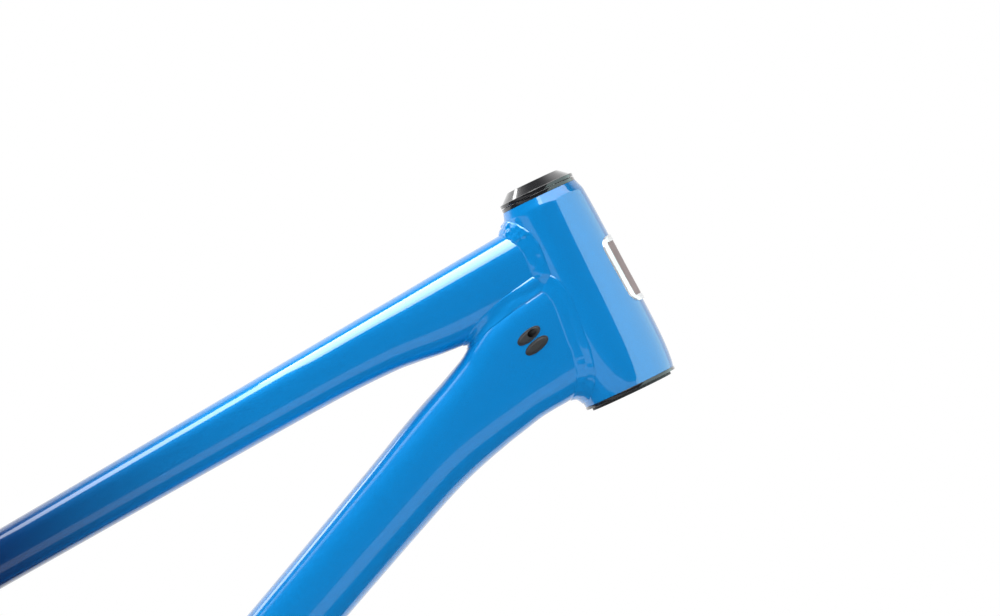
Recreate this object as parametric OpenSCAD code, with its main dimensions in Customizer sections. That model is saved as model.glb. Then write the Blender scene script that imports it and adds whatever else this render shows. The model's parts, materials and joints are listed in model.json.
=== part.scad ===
// Trail bicycle frame for 29 inch wheels: a welded aluminium hardtail frame kit with its headset,
// seat collar, rear axle, derailleur hanger, cable port rubbers and head badge.
// Millimetres. Origin at the centre of the bottom bracket, +X forwards, +Y to the rider's left, +Z up.

/* [Layout] */
// Horizontal distance from the bottom bracket to the top of the head tube
reach = 470; // [400:1:564]
// Height of the top of the head tube above the bottom bracket
stack = 640; // [530:1:768]
// Steering axis angle from the horizontal
head_angle = 64.5; // [62:0.5:72]
// Seat tube angle from the horizontal
seat_angle = 75; // [71:0.5:78]
// Bottom bracket centre to rear axle
chainstay_length = 435; // [400:1:522]
// Height of the rear axle above the bottom bracket
bb_drop = 60; // [40:1:80]

/* [Head tube] */
// Length of the head tube
head_length = 134; // [100:1:161]
// Outer radius at its upper end
head_top_r = 25.3; // [25:0.1:30]
// Outer radius at its lower end
head_low_r = 30.8; // [30.5:0.1:36]
// How far it swells just below its upper end
head_top_swell = 2.4; // [0:0.1:4]
// How far it swells just above its lower end
head_low_swell = 1.7; // [0:0.1:3]
// Radius of the bore for the upper headset cup
upper_cup_r = 22; // [22:0.1:22.5]
// Radius of the bore for the lower headset cup
lower_cup_r = 28; // [28:0.1:28.3]
// How deep each cup goes into the head tube
cup_depth = 11; // [10:0.5:16]

/* [Main tubes] */
// Top tube's upper line: distance below the top of the head tube, along the steering axis
top_tube_head_drop = 8.6; // [6:0.1:20]
// Top tube's upper line: distance above the bottom bracket, along the seat tube
top_tube_seat_rise = 317; // [264:1:340]
// Height of the top tube's section at the seat tube
top_tube_seat_h = 30; // [26:0.5:34]
// Down tube's axis on the steering axis, below the top of the head tube
down_tube_head_drop = 88; // [70:1:95]
// Angle of the down tube's short front stretch from the horizontal
down_tube_front_angle = 33; // [28:0.5:40]
// Length of that stretch, from the steering axis to the bend
down_tube_front_length = 88; // [75:1:106]
// Wall of the top tube and the down tube
tube_wall = 1.8; // [1.2:0.1:2.5]
// Seat tube length, from the bottom bracket to its top
seat_tube_length = 400; // [380:1:480]
// Seat tube outer radius
seat_tube_r = 17.45; // [17.2:0.05:19]
// Seatpost bore radius
seatpost_r = 15.8; // [13.6:0.05:15.8]
// How deep the seatpost bore is reamed, from the top of the seat tube
seatpost_depth = 220; // [150:5:222]
// Bottom bracket shell outer radius
shell_r = 21; // [20:0.5:25]
// Bottom bracket shell width
shell_width = 73; // [68:1:83]
// Bottom bracket thread's minor radius
shell_thread_r = 16.85; // [16.5:0.05:17.4]

/* [Rear end] */
// Distance between the faces that hold the hub
hub_width = 148; // [135:1:157]
// Thickness of each dropout
dropout_thickness = 12; // [10:0.5:15]
// Rear axle radius
axle_r = 6; // [5:0.1:7]
// Chainstay section height
chainstay_h = 22; // [18:0.5:26]
// Chainstay section width
chainstay_w = 16; // [13:0.5:19]
// Seatstay section height
seatstay_h = 19; // [16:0.5:23]
// Seatstay section width
seatstay_w = 14; // [11:0.5:16]
// Wall of the stays
stay_wall = 1.6; // [1.2:0.1:2.2]

/* [Headset] */
// Outer radius of the upper bearing
upper_bearing_r = 20.9; // [20.8:0.05:20.95]
// Bore radius of the upper bearing
upper_bearing_bore_r = 15.25; // [15.15:0.05:15.3]
// Height of the upper bearing
upper_bearing_height = 8; // [7.5:0.25:8]
// Outer radius of the lower bearing
lower_bearing_r = 26; // [25.9:0.05:26.05]
// Bore radius of the lower bearing
lower_bearing_bore_r = 20; // [20:0.05:20.1]
// Height of the lower bearing
lower_bearing_height = 7; // [6.5:0.25:7.5]
// Bearing ball radius
ball_r = 1.6; // [1.4:0.05:1.7]
// Steerer radius at the top
steerer_top_r = 14.3; // [14.3:0.05:14.4]
// Steerer radius at the crown race seat
steerer_low_r = 19.9; // [19.85:0.05:19.95]
// Height of the upper cover
cover_height = 8.2; // [6:0.1:12]

/* [Fittings] */
// Length of the head badge along the head tube
badge_length = 46; // [38:1:55]
// Width of the head badge, seen from the front
badge_width = 40; // [30:1:42]
// Head badge thickness
badge_thickness = 1.2; // [0.8:0.1:1.6]
// Centre of the head badge above the head tube's lower end
badge_height = 70; // [60:1:80]
// Cable port length
port_length = 16; // [13:0.5:19]
// Cable port width
port_width = 5.6; // [5:0.1:6.6]
// Hose and housing radius
hose_r = 2.3; // [2:0.1:2.4]
// Seat collar height
collar_height = 14; // [11:0.5:17]
// Seat collar wall
collar_wall = 3.6; // [3:0.1:4.5]
// Distance between bottle bosses
bottle_spacing = 64; // [54:1:74]

/* [Hidden] */
$fn = 64;

paint = [0.02, 0.42, 0.80];
navy = [0.02, 0.08, 0.30];
black_metal = [0.06, 0.06, 0.07];
rubber = [0.05, 0.05, 0.05];
steel = [0.75, 0.76, 0.78];

seam = 0.05;      // gap left between welded pieces, so that their solids only meet
slip = 0.03;      // radial gap of a piece that turns or slides in another
press = 0.01;     // radial gap of a piece that is pressed in

// ---------- frame points ----------
function along(a) = [cos(a), 0, sin(a)];
head_top = [reach, 0, stack];
steer_up = -along(-head_angle);
head_low = head_top - head_length * steer_up;
seat_up = along(180 - seat_angle);
rear_axle = [-sqrt(pow(chainstay_length, 2) - pow(bb_drop, 2)), 0, bb_drop];
hub_half = hub_width / 2;
stay_y = hub_half + dropout_thickness / 2;

// ---------- lofted tubes ----------
function unit(v) = v / norm(v);
function bezier(p, t) = pow(1 - t, 3) * p[0] + 3 * pow(1 - t, 2) * t * p[1]
    + 3 * (1 - t) * t * t * p[2] + pow(t, 3) * p[3];
function power(v, e) = sign(v) * pow(abs(v), 2 / e);
// One ring of a rounded-square section: centre c, direction of travel d, height h, width w, squareness e
function ring(c, d, h, w, e, sides) =
    let (side = unit(cross([0, 0, 1], d)), up = cross(d, side))
    [for (i = [0 : sides - 1]) let (a = 360 * i / sides)
        c + side * power(cos(a), e) * w / 2 + up * power(sin(a), e) * h / 2];
// Direction of travel at point i of a path
function heading(path, i) = unit(path[min(i + 1, len(path) - 1)] - path[max(i - 1, 0)]);
// Distance along a path up to point i
function reached(path, i) = i == 0 ? 0 : norm(path[i] - path[i - 1]) + reached(path, i - 1);

// Side walls between successive rings; the rings' points start at number first
function loft_walls(count, sides, first, out) = [for (k = [0 : count - 2]) for (i = [0 : sides - 1])
    let (j = (i + 1) % sides, a = first + k * sides, b = a + sides)
    each (out ? [[a + i, b + i, b + j], [a + i, b + j, a + j]]
        : [[a + i, b + j, b + i], [a + i, a + j, b + j]])];
module loft(rings) {
    sides = len(rings[0]);
    last = (len(rings) - 1) * sides;
    cap_start = [for (i = [1 : sides - 2]) [0, i, i + 1]];
    cap_end = [for (i = [1 : sides - 2]) [last, last + i + 1, last + i]];
    polyhedron(points = [for (r = rings) each r],
        faces = concat(loft_walls(len(rings), sides, 0, true), cap_start, cap_end), convexity = 6);
}
module hollow_loft(outer, inner) {
    sides = len(outer[0]);
    n = len(outer) * sides;
    last = n - sides;
    rims = [for (i = [0 : sides - 1]) let (j = (i + 1) % sides)
        each [[i, j, n + j], [i, n + j, n + i],
            [last + i, n + last + j, last + j], [last + i, n + last + i, n + last + j]]];
    polyhedron(points = concat([for (r = outer) each r], [for (r = inner) each r]),
        faces = concat(loft_walls(len(outer), sides, 0, true), loft_walls(len(inner), sides, n, false), rims),
        convexity = 8);
}

// Rings of a tube along a path: h, w and e are tables of section height, width and squareness against
// distance (e may be one number), and grow adds to every side
function tube_rings(path, h, w, e, grow, sides) = [for (i = [0 : len(path) - 1]) let (s = reached(path, i))
    ring(path[i], heading(path, i), lookup(s, h) + 2 * grow, lookup(s, w) + 2 * grow,
        is_list(e) ? lookup(s, e) : e, sides)];
module tube(path, h, w, e, grow = 0, sides = 24) {
    loft(tube_rings(path, h, w, e, grow, sides));
}
module hollow_tube(path, h, w, e, wall, sides = 24) {
    hollow_loft(tube_rings(path, h, w, e, 0, sides), tube_rings(path, h, w, e, -wall, sides));
}

// ---------- head tube ----------
module on_head_tube() {
    translate(head_low) rotate([0, head_angle - 90, 0]) children();
}
head_profile = [[0, head_low_r], [4, head_low_r + 0.45 * head_low_swell],
    [12, head_low_r + 0.85 * head_low_swell], [21, head_low_r + head_low_swell],
    [head_length / 2 + 7, (head_low_r + head_low_swell + head_top_r + head_top_swell) / 2 + 0.3],
    [head_length - 7, head_top_r + head_top_swell],
    [head_length - 3, head_top_r + 0.45 * head_top_swell], [head_length, head_top_r]];
module head_outside(grow = 0) {
    rotate_extrude() polygon([[0, 0], for (p = head_profile) [p[1] + grow, p[0]], [0, head_length]]);
}
module head_tube() {
    relief_r = lower_cup_r - 4;
    relief_top_r = upper_cup_r - 3;
    color(paint) on_head_tube() difference() {
        head_outside();
        translate([0, 0, -1]) cylinder(r = lower_cup_r, h = cup_depth + 1);
        translate([0, 0, head_length - cup_depth]) cylinder(r = upper_cup_r, h = cup_depth + 1);
        translate([0, 0, cup_depth - 1])
            cylinder(r1 = relief_r, r2 = relief_top_r, h = head_length - 2 * cup_depth + 2);
    }
}

// ---------- top tube ----------
top_line_head = head_top - top_tube_head_drop * steer_up;
top_line_seat = top_tube_seat_rise * seat_up;
top_line = top_line_seat - top_line_head;
top_line_length = norm(top_line);
top_tube_h = [[0, 54], [60, 51], [84, 49.2], [100, 47], [116, 43.8], [132, 41.2], [176, 38.2], [265, 36.2],
    [411, 33.6], [top_line_length, top_tube_seat_h]];
top_tube_w = [[0, 46], [120, 42], [411, 38], [top_line_length, 2 * seat_tube_r - 1]];
function top_tube_at(s) = top_line_head + s * unit(top_line)
    + lookup(s, top_tube_h) / 2 * unit(cross(top_line, [0, 1, 0]));
top_tube_stops = [0, 30, 60, 84, 92, 100, 108, 116, 132, 154, 176, 220, 265, 330, 411, top_line_length];
top_tube_path = [for (s = top_tube_stops) top_tube_at(s)];
module top_tube_body(grow = 0) {
    tube(top_tube_path, top_tube_h, top_tube_w, 2.8, grow, 28);
}
module top_tube() {
    color(paint) difference() {
        hollow_tube(top_tube_path, top_tube_h, top_tube_w, 2.8, tube_wall, 28);
        on_head_tube() head_outside(seam);
        seat_tube_outside(seam);
    }
}

// ---------- down tube ----------
down_tube_front = head_top - down_tube_head_drop * steer_up;
down_tube_bend = down_tube_front - down_tube_front_length * along(down_tube_front_angle);
bend_reach = 62;   // distance over which the bend is spread, each way from its corner
function bend_point(t) = let (a = down_tube_bend + bend_reach * unit(down_tube_front - down_tube_bend),
    b = down_tube_bend - bend_reach * unit(down_tube_bend))
    pow(1 - t, 2) * a + 2 * t * (1 - t) * down_tube_bend + t * t * b;
down_tube_length = norm(down_tube_bend) + down_tube_front_length;
down_tube_line = [down_tube_front, down_tube_front - 14 * along(down_tube_front_angle),
    for (i = [0 : 7]) bend_point(i / 7), for (k = [0.68, 0.5, 0.3, 0.12, 0]) k * down_tube_bend];
// How much taller the section grows towards the top tube, near the head tube
down_tube_rise = [[0, 12], [35, 11.5], [50, 9.5], [65, 6], [80, 2], [100, 0]];
down_tube_path = [for (i = [0 : len(down_tube_line) - 1]) let (d = heading(down_tube_line, i))
    down_tube_line[i]
        + lookup(reached(down_tube_line, i), down_tube_rise) / 2 * cross(d, unit(cross([0, 0, 1], d)))];
down_tube_h = [[0, 79], [35, 76.5], [50, 73.5], [65, 67.5], [80, 61.5], [110, 56], [165, 51.3], [270, 49],
    [down_tube_length - 170, 47], [down_tube_length, 2 * shell_r - 3]];
down_tube_w = [[0, 54], [110, 53], [270, 51], [down_tube_length - 170, 56], [down_tube_length, 60]];
down_tube_e = [[0, 4], [50, 3.8], [140, 2.6], [down_tube_length, 2.5]];
module down_tube_body(grow = 0) {
    tube(down_tube_path, down_tube_h, down_tube_w, down_tube_e, grow, 28);
}
module down_tube() {
    color(paint) difference() {
        hollow_tube(down_tube_path, down_tube_h, down_tube_w, down_tube_e, tube_wall, 28);
        on_head_tube() head_outside(seam);
        top_tube_body(seam);
        seat_tube_outside(seam);
        shell_outside(seam);
        for (side = [-1, 1]) for (k = [0, 1]) at_port(side, k)
            translate([0, 0, -12]) oval(port_length, port_width, 20);
        at_exit() oval(port_length, port_width, 30);
        for (k = [0, 1]) on_down_tube_top(k) translate([0, 0, -20]) cylinder(r = boss_r, h = 30);
    }
}

// ---------- seat tube ----------
gusset_r = 9.5;
slot_length = 34;
module on_seat_tube() {
    rotate([0, seat_angle - 90, 0]) children();
}
module seat_tube_outside(grow = 0) {
    on_seat_tube() cylinder(r = seat_tube_r + grow, h = seat_tube_length);
}
module seat_tube() {
    collar_seat_r = seat_tube_r + 0.6;
    color(navy) difference() {
        on_seat_tube() difference() {
            union() {
                cylinder(r = seat_tube_r, h = seat_tube_length);
                translate([0, 0, seat_tube_length - 30]) cylinder(r = collar_seat_r, h = 30);
            }
            translate([0, 0, -1]) cylinder(r = seatpost_r - 0.35, h = seat_tube_length);
            translate([0, 0, seat_tube_length - seatpost_depth])
                cylinder(r = seatpost_r, h = seatpost_depth + 1);
            translate([-seat_tube_r - 5, -1.25, seat_tube_length - slot_length])
                cube([seat_tube_r, 2.5, slot_length + 1]);
            translate([-seat_tube_r - 5, 0, seat_tube_length - slot_length])
                rotate([0, 90, 0]) cylinder(r = 3, h = seat_tube_r);
            for (k = [0, 1]) translate([0, 0, seat_boss_z(k)])
                rotate([0, 90, 0]) cylinder(r = boss_r, h = 40);
        }
        shell_outside(seam);
    }
}
gusset_front = top_tube_seat_h * 2.2;
module seat_tube_gusset() {
    from = top_line_seat - gusset_front * unit(top_line) - 4 * [0, 0, 1];
    to = (top_tube_seat_rise + 40) * seat_up;
    axis = to - from;
    color(navy) difference() {
        translate(from) rotate([0, atan2(axis[0], axis[2]), 0]) difference() {
            cylinder(r = gusset_r, h = norm(axis));
            translate([0, 0, -1]) cylinder(r = gusset_r - stay_wall, h = norm(axis) + 2);
        }
        top_tube_body(seam);
        seat_tube_outside(seam);
    }
}

// ---------- bottom bracket shell ----------
module shell_outside(grow = 0) {
    rotate([90, 0, 0]) cylinder(r = shell_r + grow, h = shell_width + 2 * grow, center = true);
}
module bottom_bracket_shell() {
    color(navy) difference() {
        shell_outside();
        rotate([90, 0, 0]) cylinder(r = shell_thread_r, h = shell_width + 2, center = true);
    }
}

// ---------- stays ----------
// Control points of the right-hand stays; side is -1 for the right and 1 for the left
function chainstay_line(side) = [[-8, side * 26, -2], [-70, side * 52, -6],
    [rear_axle[0] * 0.46, side * 62, bb_drop * 0.37], rear_axle + [33, side * stay_y, -6]];
seatstay_top = top_tube_seat_rise - 36;
function seatstay_line(side) = [seatstay_top * seat_up + [-1, side * 10, 0],
    seatstay_top * seat_up + [-27, side * 52, -10],
    rear_axle + [211, side * 58, 130], rear_axle + [19, side * stay_y, 26]];
function stay_path(line, from = 0, to = 1, steps = 12) =
    [for (i = [0 : steps]) bezier(line, from + (to - from) * i / steps)];
chainstay_hs = [[0, chainstay_h + 2], [200, chainstay_h - 2], [chainstay_length, chainstay_h - 4]];
chainstay_ws = [[0, chainstay_w], [200, chainstay_w], [chainstay_length, dropout_thickness - 1]];
seatstay_hs = [[0, seatstay_h + 2], [200, seatstay_h], [chainstay_length, seatstay_h - 3]];
seatstay_ws = [[0, seatstay_w], [200, seatstay_w - 1], [chainstay_length - 30, dropout_thickness - 1]];
module chainstay_body(side, grow = 0) {
    tube(stay_path(chainstay_line(side)), chainstay_hs, chainstay_ws, 2.3, grow, 20);
}
module seatstay_body(side, grow = 0) {
    tube(stay_path(seatstay_line(side)), seatstay_hs, seatstay_ws, 2.3, grow, 20);
}
module chainstay(side) {
    color(navy) difference() {
        hollow_tube(stay_path(chainstay_line(side)), chainstay_hs, chainstay_ws, 2.3, stay_wall, 20);
        rotate([90, 0, 0]) cylinder(r = shell_r + seam, h = 1.4 * shell_width, center = true);
        dropout_plate(side, seam);
    }
}
module seatstay(side) {
    color(navy) difference() {
        hollow_tube(stay_path(seatstay_line(side)), seatstay_hs, seatstay_ws, 2.3, stay_wall, 20);
        seat_tube_outside(seam);
        dropout_plate(side, seam);
    }
}
bridge_r = 7;
module bridge_tube(at, reach_y) {
    translate(at) rotate([90, 0, 0]) difference() {
        cylinder(r = bridge_r, h = 2 * reach_y, center = true);
        cylinder(r = bridge_r - stay_wall, h = 2 * reach_y + 2, center = true);
    }
}
module chainstay_bridge() {
    spot = bezier(chainstay_line(1), 0.17);
    color(navy) difference() {
        bridge_tube([spot[0], 0, spot[2]], spot[1]);
        for (side = [-1, 1]) chainstay_body(side, seam);
    }
}
module seatstay_bridge() {
    spot = bezier(seatstay_line(1), 0.2);
    color(navy) difference() {
        bridge_tube([spot[0], 0, spot[2]], spot[1]);
        for (side = [-1, 1]) seatstay_body(side, seam);
    }
}

// ---------- dropouts, rear axle and hanger ----------
nose_r = 17;             // radius of a dropout round the axle
hanger_seat_r = 9;       // radius of the hanger's spigot in the right dropout
hanger_thickness = 7;
axle_head_r = 9.5;
axle_head_length = 7;
washer_thickness = 2;
module dropout_plate(side, grow = 0) {
    translate([0, side * (hub_half + dropout_thickness / 2), 0]) rotate([90, 0, 0])
        linear_extrude(dropout_thickness + 2 * grow, center = true) hull() {
            translate([rear_axle[0], rear_axle[2]]) circle(r = nose_r + grow, $fn = 48);
            translate([rear_axle[0] + 36, rear_axle[2] - 7]) circle(r = 9.5 + grow, $fn = 32);
            translate([rear_axle[0] + 21, rear_axle[2] + 29]) circle(r = 8.5 + grow, $fn = 32);
        }
}
module on_axle() {
    translate(rear_axle) rotate([-90, 0, 0]) children();
}
module dropout(side) {
    color(navy) difference() {
        dropout_plate(side);
        on_axle() cylinder(r = side < 0 ? hanger_seat_r + slip : axle_r + 2 * slip,
            h = 2 * hub_width, center = true);
        translate([rear_axle[0] + 25, 0, rear_axle[2] + 6]) rotate([90, 0, 0])
            translate([0, 0, -side * (hub_half + dropout_thickness)])
                cylinder(r = 6, h = dropout_thickness, center = true);
        if (side < 0) hanger_screw_holes();
    }
}
module hanger_screw_holes() {
    translate([rear_axle[0] + 6, -hub_half - dropout_thickness + 6, rear_axle[2] - 12.5])
        rotate([90, 0, 0]) cylinder(r = 2, h = 20);
}
module derailleur_hanger() {
    outer = hub_half + dropout_thickness;
    lug = [rear_axle[0] - 12, rear_axle[2] - 29];
    color(black_metal) difference() {
        union() {
            translate([0, -outer - seam, 0]) rotate([90, 0, 0]) linear_extrude(hanger_thickness) hull() {
                translate([rear_axle[0], rear_axle[2]]) circle(r = nose_r - 3, $fn = 48);
                translate([rear_axle[0] + 6, rear_axle[2] - 12.5]) circle(r = 5, $fn = 32);
                translate(lug) circle(r = 8.5, $fn = 48);
            }
            on_axle() translate([0, 0, -outer - 1]) cylinder(r = hanger_seat_r, h = dropout_thickness + 1);
        }
        on_axle() cylinder(r = axle_r + slip, h = 3 * hub_width, center = true);
        translate([lug[0], -outer + 10, lug[1]]) rotate([90, 0, 0]) cylinder(r = 4.6, h = 40);
        hanger_screw_holes();
    }
}
module hanger_screws() {
    outer = hub_half + dropout_thickness;
    color(black_metal) translate([rear_axle[0] + 6, 0, rear_axle[2] - 12.5]) rotate([90, 0, 0]) difference() {
        union() {
            translate([0, 0, outer - 5]) cylinder(r = 2 - slip, h = 5 + hanger_thickness);
            translate([0, 0, outer + hanger_thickness + seam]) cylinder(r = 3.6, h = 2);
        }
        translate([0, 0, outer + hanger_thickness]) cylinder(r = 1.6, h = 5, $fn = 6);
    }
}
module thru_axle() {
    inner_end = -hub_half - dropout_thickness - 4;
    head_start = hub_half + dropout_thickness + washer_thickness + 2 * slip;
    color(black_metal) on_axle() difference() {
        union() {
            translate([0, 0, inner_end]) cylinder(r = axle_r, h = head_start - inner_end + 1);
            translate([0, 0, inner_end - 2]) cylinder(r1 = axle_r - 1.5, r2 = axle_r, h = 2);
            translate([0, 0, head_start]) cylinder(r = axle_head_r, h = axle_head_length - 2);
            translate([0, 0, head_start + axle_head_length - 2])
                cylinder(r1 = axle_head_r, r2 = axle_head_r - 2, h = 2);
        }
        translate([0, 0, inner_end - 3]) cylinder(r = axle_r - 2, h = 2 * hub_width);
        translate([0, 0, head_start + axle_head_length - 6]) cylinder(r = 3.46, h = 8, $fn = 6);
    }
}
module axle_washer() {
    color(steel) on_axle() translate([0, 0, hub_half + dropout_thickness + slip]) difference() {
        cylinder(r = axle_head_r + 1, h = washer_thickness);
        translate([0, 0, -1]) cylinder(r = axle_r + slip, h = washer_thickness + 2);
    }
}

// ---------- rear brake mount ----------
post_spacing = 74;
post_y = stay_y - 16;
post_tilt = atan2(bb_drop * 0.63 - 6, -rear_axle[0] * 0.54 - 33);
module at_post(k) {
    start = bezier(chainstay_line(1), 0.9);
    translate([start[0], post_y, start[2]]) rotate([0, post_tilt, 0])
        translate([k * post_spacing, 0, chainstay_h / 2 - 3]) children();
}
module brake_mount() {
    color(navy) difference() {
        union() {
            for (k = [0, 1]) at_post(k) cylinder(r = 7.5, h = 15);
            at_post(0) translate([0, -5, 0]) cube([post_spacing, 18, 7]);
        }
        for (k = [0, 1]) at_post(k) translate([0, 0, 3]) cylinder(r = 2.6, h = 20);
        chainstay_body(1, seam);
        dropout_plate(1, seam);
    }
}

// ---------- headset ----------
flange = 2.4;            // visible rim of the upper cup
low_flange = 2;          // visible rim of the lower cup
// A bearing as its outer radius, its bore radius and its height
upper_bearing = [upper_bearing_r, upper_bearing_bore_r, upper_bearing_height];
lower_bearing = [lower_bearing_r, lower_bearing_bore_r, lower_bearing_height];
module at_head_top() {
    on_head_tube() translate([0, 0, head_length]) children();
}
// Places a bearing with its lower face at z = 0
module at_upper_bearing() {
    at_head_top() translate([0, 0, flange - upper_bearing[2] - 0.4]) children();
}
module at_lower_bearing() {
    on_head_tube() translate([0, 0, 0.4 - low_flange]) children();
}
function pitch_r(b) = (b[0] + b[1]) / 2;
module ring_of(outer, inner, height) {
    difference() {
        cylinder(r = outer, h = height);
        translate([0, 0, -1]) cylinder(r = inner, h = height + 2);
    }
}
module groove(b) {
    rotate_extrude() translate([pitch_r(b), b[2] / 2]) circle(r = ball_r + slip, $fn = 32);
}
module outer_race(b) {
    color(steel) difference() {
        ring_of(b[0] - press, pitch_r(b) + 0.9, b[2]);
        groove(b);
    }
}
module inner_race(b, chamfer_up) {
    flip = chamfer_up ? 1 : 0;
    color(steel) difference() {
        ring_of(pitch_r(b) - 0.9, b[1], b[2]);
        groove(b);
        translate([0, 0, flip ? b[2] - 1.4 : -0.01])
            cylinder(r1 = b[1] + (flip ? 0 : 1.4), r2 = b[1] + (flip ? 1.4 : 0), h = 1.41);
    }
}
function ball_count(b) = floor(3.14159 * pitch_r(b) / ball_r * 0.8);
module balls(b) {
    n = ball_count(b);
    color(steel) for (i = [0 : n - 1]) rotate([0, 0, 360 * i / n]) translate([pitch_r(b), 0, b[2] / 2])
        sphere(r = ball_r, $fn = 24);
}
module ball_cage(b) {
    n = ball_count(b);
    color(steel) difference() {
        translate([0, 0, b[2] / 2 - 0.2]) ring_of(pitch_r(b) + 0.45, pitch_r(b) - 0.45, 2);
        for (i = [0 : n - 1]) rotate([0, 0, 360 * i / n]) translate([pitch_r(b) - 2, 0, b[2] / 2])
            rotate([0, 90, 0]) cylinder(r = ball_r + 0.08, h = 4, $fn = 24);
    }
}
module bearing_seals(b) {
    color(rubber) for (z = [0.1, b[2] - 0.7]) translate([0, 0, z])
        ring_of(pitch_r(b) + 0.9 - press, pitch_r(b) - 0.9 + slip, 0.6);
}
module upper_cup() {
    color(black_metal) at_head_top() difference() {
        union() {
            translate([0, 0, -cup_depth + 0.5]) cylinder(r = upper_cup_r - press, h = cup_depth);
            translate([0, 0, seam]) cylinder(r = head_top_r, h = flange - seam);
        }
        translate([0, 0, flange - upper_bearing[2] - 0.4]) cylinder(r = upper_bearing[0], h = 20);
        translate([0, 0, -20]) cylinder(r = upper_bearing[0] - 2.4, h = 40);
    }
}
module lower_cup() {
    color(black_metal) on_head_tube() difference() {
        union() {
            translate([0, 0, -low_flange])
                cylinder(r = lower_cup_r - press, h = cup_depth + low_flange - 0.5);
            translate([0, 0, -low_flange]) cylinder(r = head_low_r + 0.4, h = low_flange - seam);
        }
        translate([0, 0, -20 + 0.4 - low_flange + lower_bearing[2]]) cylinder(r = lower_bearing[0], h = 20);
        translate([0, 0, -10]) cylinder(r = lower_bearing[0] - 2.4, h = 40);
    }
}
module compression_ring() {
    b = upper_bearing;
    color(steel) at_upper_bearing() difference() {
        union() {
            translate([0, 0, b[2] - 5]) cylinder(r = b[1] - slip, h = 5);
            translate([0, 0, b[2] - 1.4 + slip]) cylinder(r1 = b[1], r2 = b[1] + 1.4, h = 1.4);
            translate([0, 0, b[2] + slip]) cylinder(r = b[1] + 1.4, h = 1);
        }
        translate([0, 0, -1]) cylinder(r = steerer_top_r + slip, h = 20);
        translate([-30, -0.6, -1]) cube([30, 1.2, 20]);
    }
}
skirt = 2.3;             // straight rim of the cover above the cup
cover_low_r = 24;
cover_top_r = 17.5;
module upper_cover() {
    z = flange + 0.3;
    color(black_metal) at_head_top() difference() {
        union() {
            translate([0, 0, z]) cylinder(r = head_top_r, h = skirt);
            translate([0, 0, z + skirt])
                cylinder(r1 = cover_low_r, r2 = cover_top_r, h = cover_height - skirt - 0.3);
        }
        translate([0, 0, z - 1]) cylinder(r = steerer_top_r + 0.3, h = 30);
        translate([0, 0, z - 1]) cylinder(r = upper_bearing[1] + 2, h = 2.2);
        translate([0, 0, z - 0.1]) difference() {
            cylinder(r = head_top_r - 2, h = skirt - 0.8);
            translate([0, 0, -1]) cylinder(r = upper_bearing[1] + 4, h = skirt + 1);
        }
        on_groove(z + cover_height - skirt - 2.2);
    }
}
module on_groove(z) {
    translate([0, 0, z]) rotate_extrude() translate([steerer_top_r + 1, 0]) circle(r = 0.9, $fn = 24);
}
module upper_cover_seal() {
    color(rubber) at_head_top() translate([0, 0, flange + 0.3 + cover_height - skirt - 2.2])
        rotate_extrude() translate([steerer_top_r + 1, 0]) circle(r = 0.85, $fn = 24);
}
module crown_race() {
    b = lower_bearing;
    color(black_metal) at_lower_bearing() difference() {
        union() {
            translate([0, 0, -2.2]) cylinder(r = pitch_r(b) + 2.5, h = 1.9);
            translate([0, 0, -0.6]) cylinder(r = b[1] + 1.4 - 0.1, h = 0.6);
            translate([0, 0, slip - 0.1]) cylinder(r1 = b[1] + 1.3, r2 = b[1] + 0.1, h = 1.2);
        }
        translate([0, 0, -5]) cylinder(r = steerer_low_r, h = 20);
    }
}
module crown_race_seal() {
    b = lower_bearing;
    color(rubber) at_lower_bearing() translate([0, 0, -2.2])
        ring_of(lower_bearing[0] + 1.4, pitch_r(b) + 2.5 + slip, 1.5);
}

// ---------- head badge ----------
module head_badge() {
    corner = 8;
    color(steel) on_head_tube() intersection() {
        difference() {
            head_outside(badge_thickness);
            head_outside(seam);
        }
        translate([0, 0, badge_height]) rotate([90, 0, 90]) linear_extrude(60)
            offset(r = corner, $fn = 32)
                square([badge_width - 2 * corner, badge_length - 2 * corner], center = true);
    }
}

// ---------- cable ports ----------
port_step = 8;           // distance between the two ports on one side
port_back = 52;          // how far behind the steering axis the ports lie, along the down tube
port_lean = 46;
module oval(length, width, height) {
    linear_extrude(height) polygon([for (i = [0 : 31]) let (a = 360 * i / 32)
        [sign(cos(a)) * (length - width) / 2 + width / 2 * cos(a), width / 2 * sin(a)]]);
}
port_spot = down_tube_front - port_back * along(down_tube_front_angle) + [0, 0, 19.3];
port_y = [26.6, 26.8];   // how far out the tube's side is at each port
port_tilt = [2, 0.3];    // how far the tube's side leans back there
port_depth = 5;
port_rim = 0.9;          // how far a rubber's rim stands out
// A port's own +Z points straight out of the tube's side
module at_port(side, k) {
    mirror([0, side > 0 ? 1 : 0, 0])
        translate(port_spot + k * port_step * along(port_lean - 90) - [0, port_y[k], 0])
            rotate(a = -port_tilt[k], v = along(down_tube_front_angle))
                rotate([90, 0, 0]) rotate([0, 0, port_lean]) children();
}
module port_rubber(side, k, rim) {
    difference() {
        at_port(side, k) union() {
            translate([0, 0, -port_depth])
                oval(port_length - 2 * seam, port_width - 2 * seam, port_depth + port_rim);
            translate([0, 0, -2]) oval(port_length + rim, port_width + rim, 2 + port_rim);
        }
        difference() {
            down_tube_body(seam);
            at_port(side, k) translate([0, 0, -20]) oval(port_length - 2 * seam, port_width - 2 * seam, 40);
        }
    }
}
module hose_bore(side, k) {
    at_port(side, k) translate([1.5, 0, 0]) rotate([0, 50, 0]) cylinder(r = hose_r, h = 60, center = true);
}
module cable_grommets() {
    color(rubber) for (p = [[-1, 0], [1, 0], [1, 1]]) difference() {
        port_rubber(p[0], p[1], 1.6);
        hose_bore(p[0], p[1]);
    }
}
module port_plug() {
    color(rubber) port_rubber(-1, 1, 1.6);
}
exit_back = 0.2;
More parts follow.
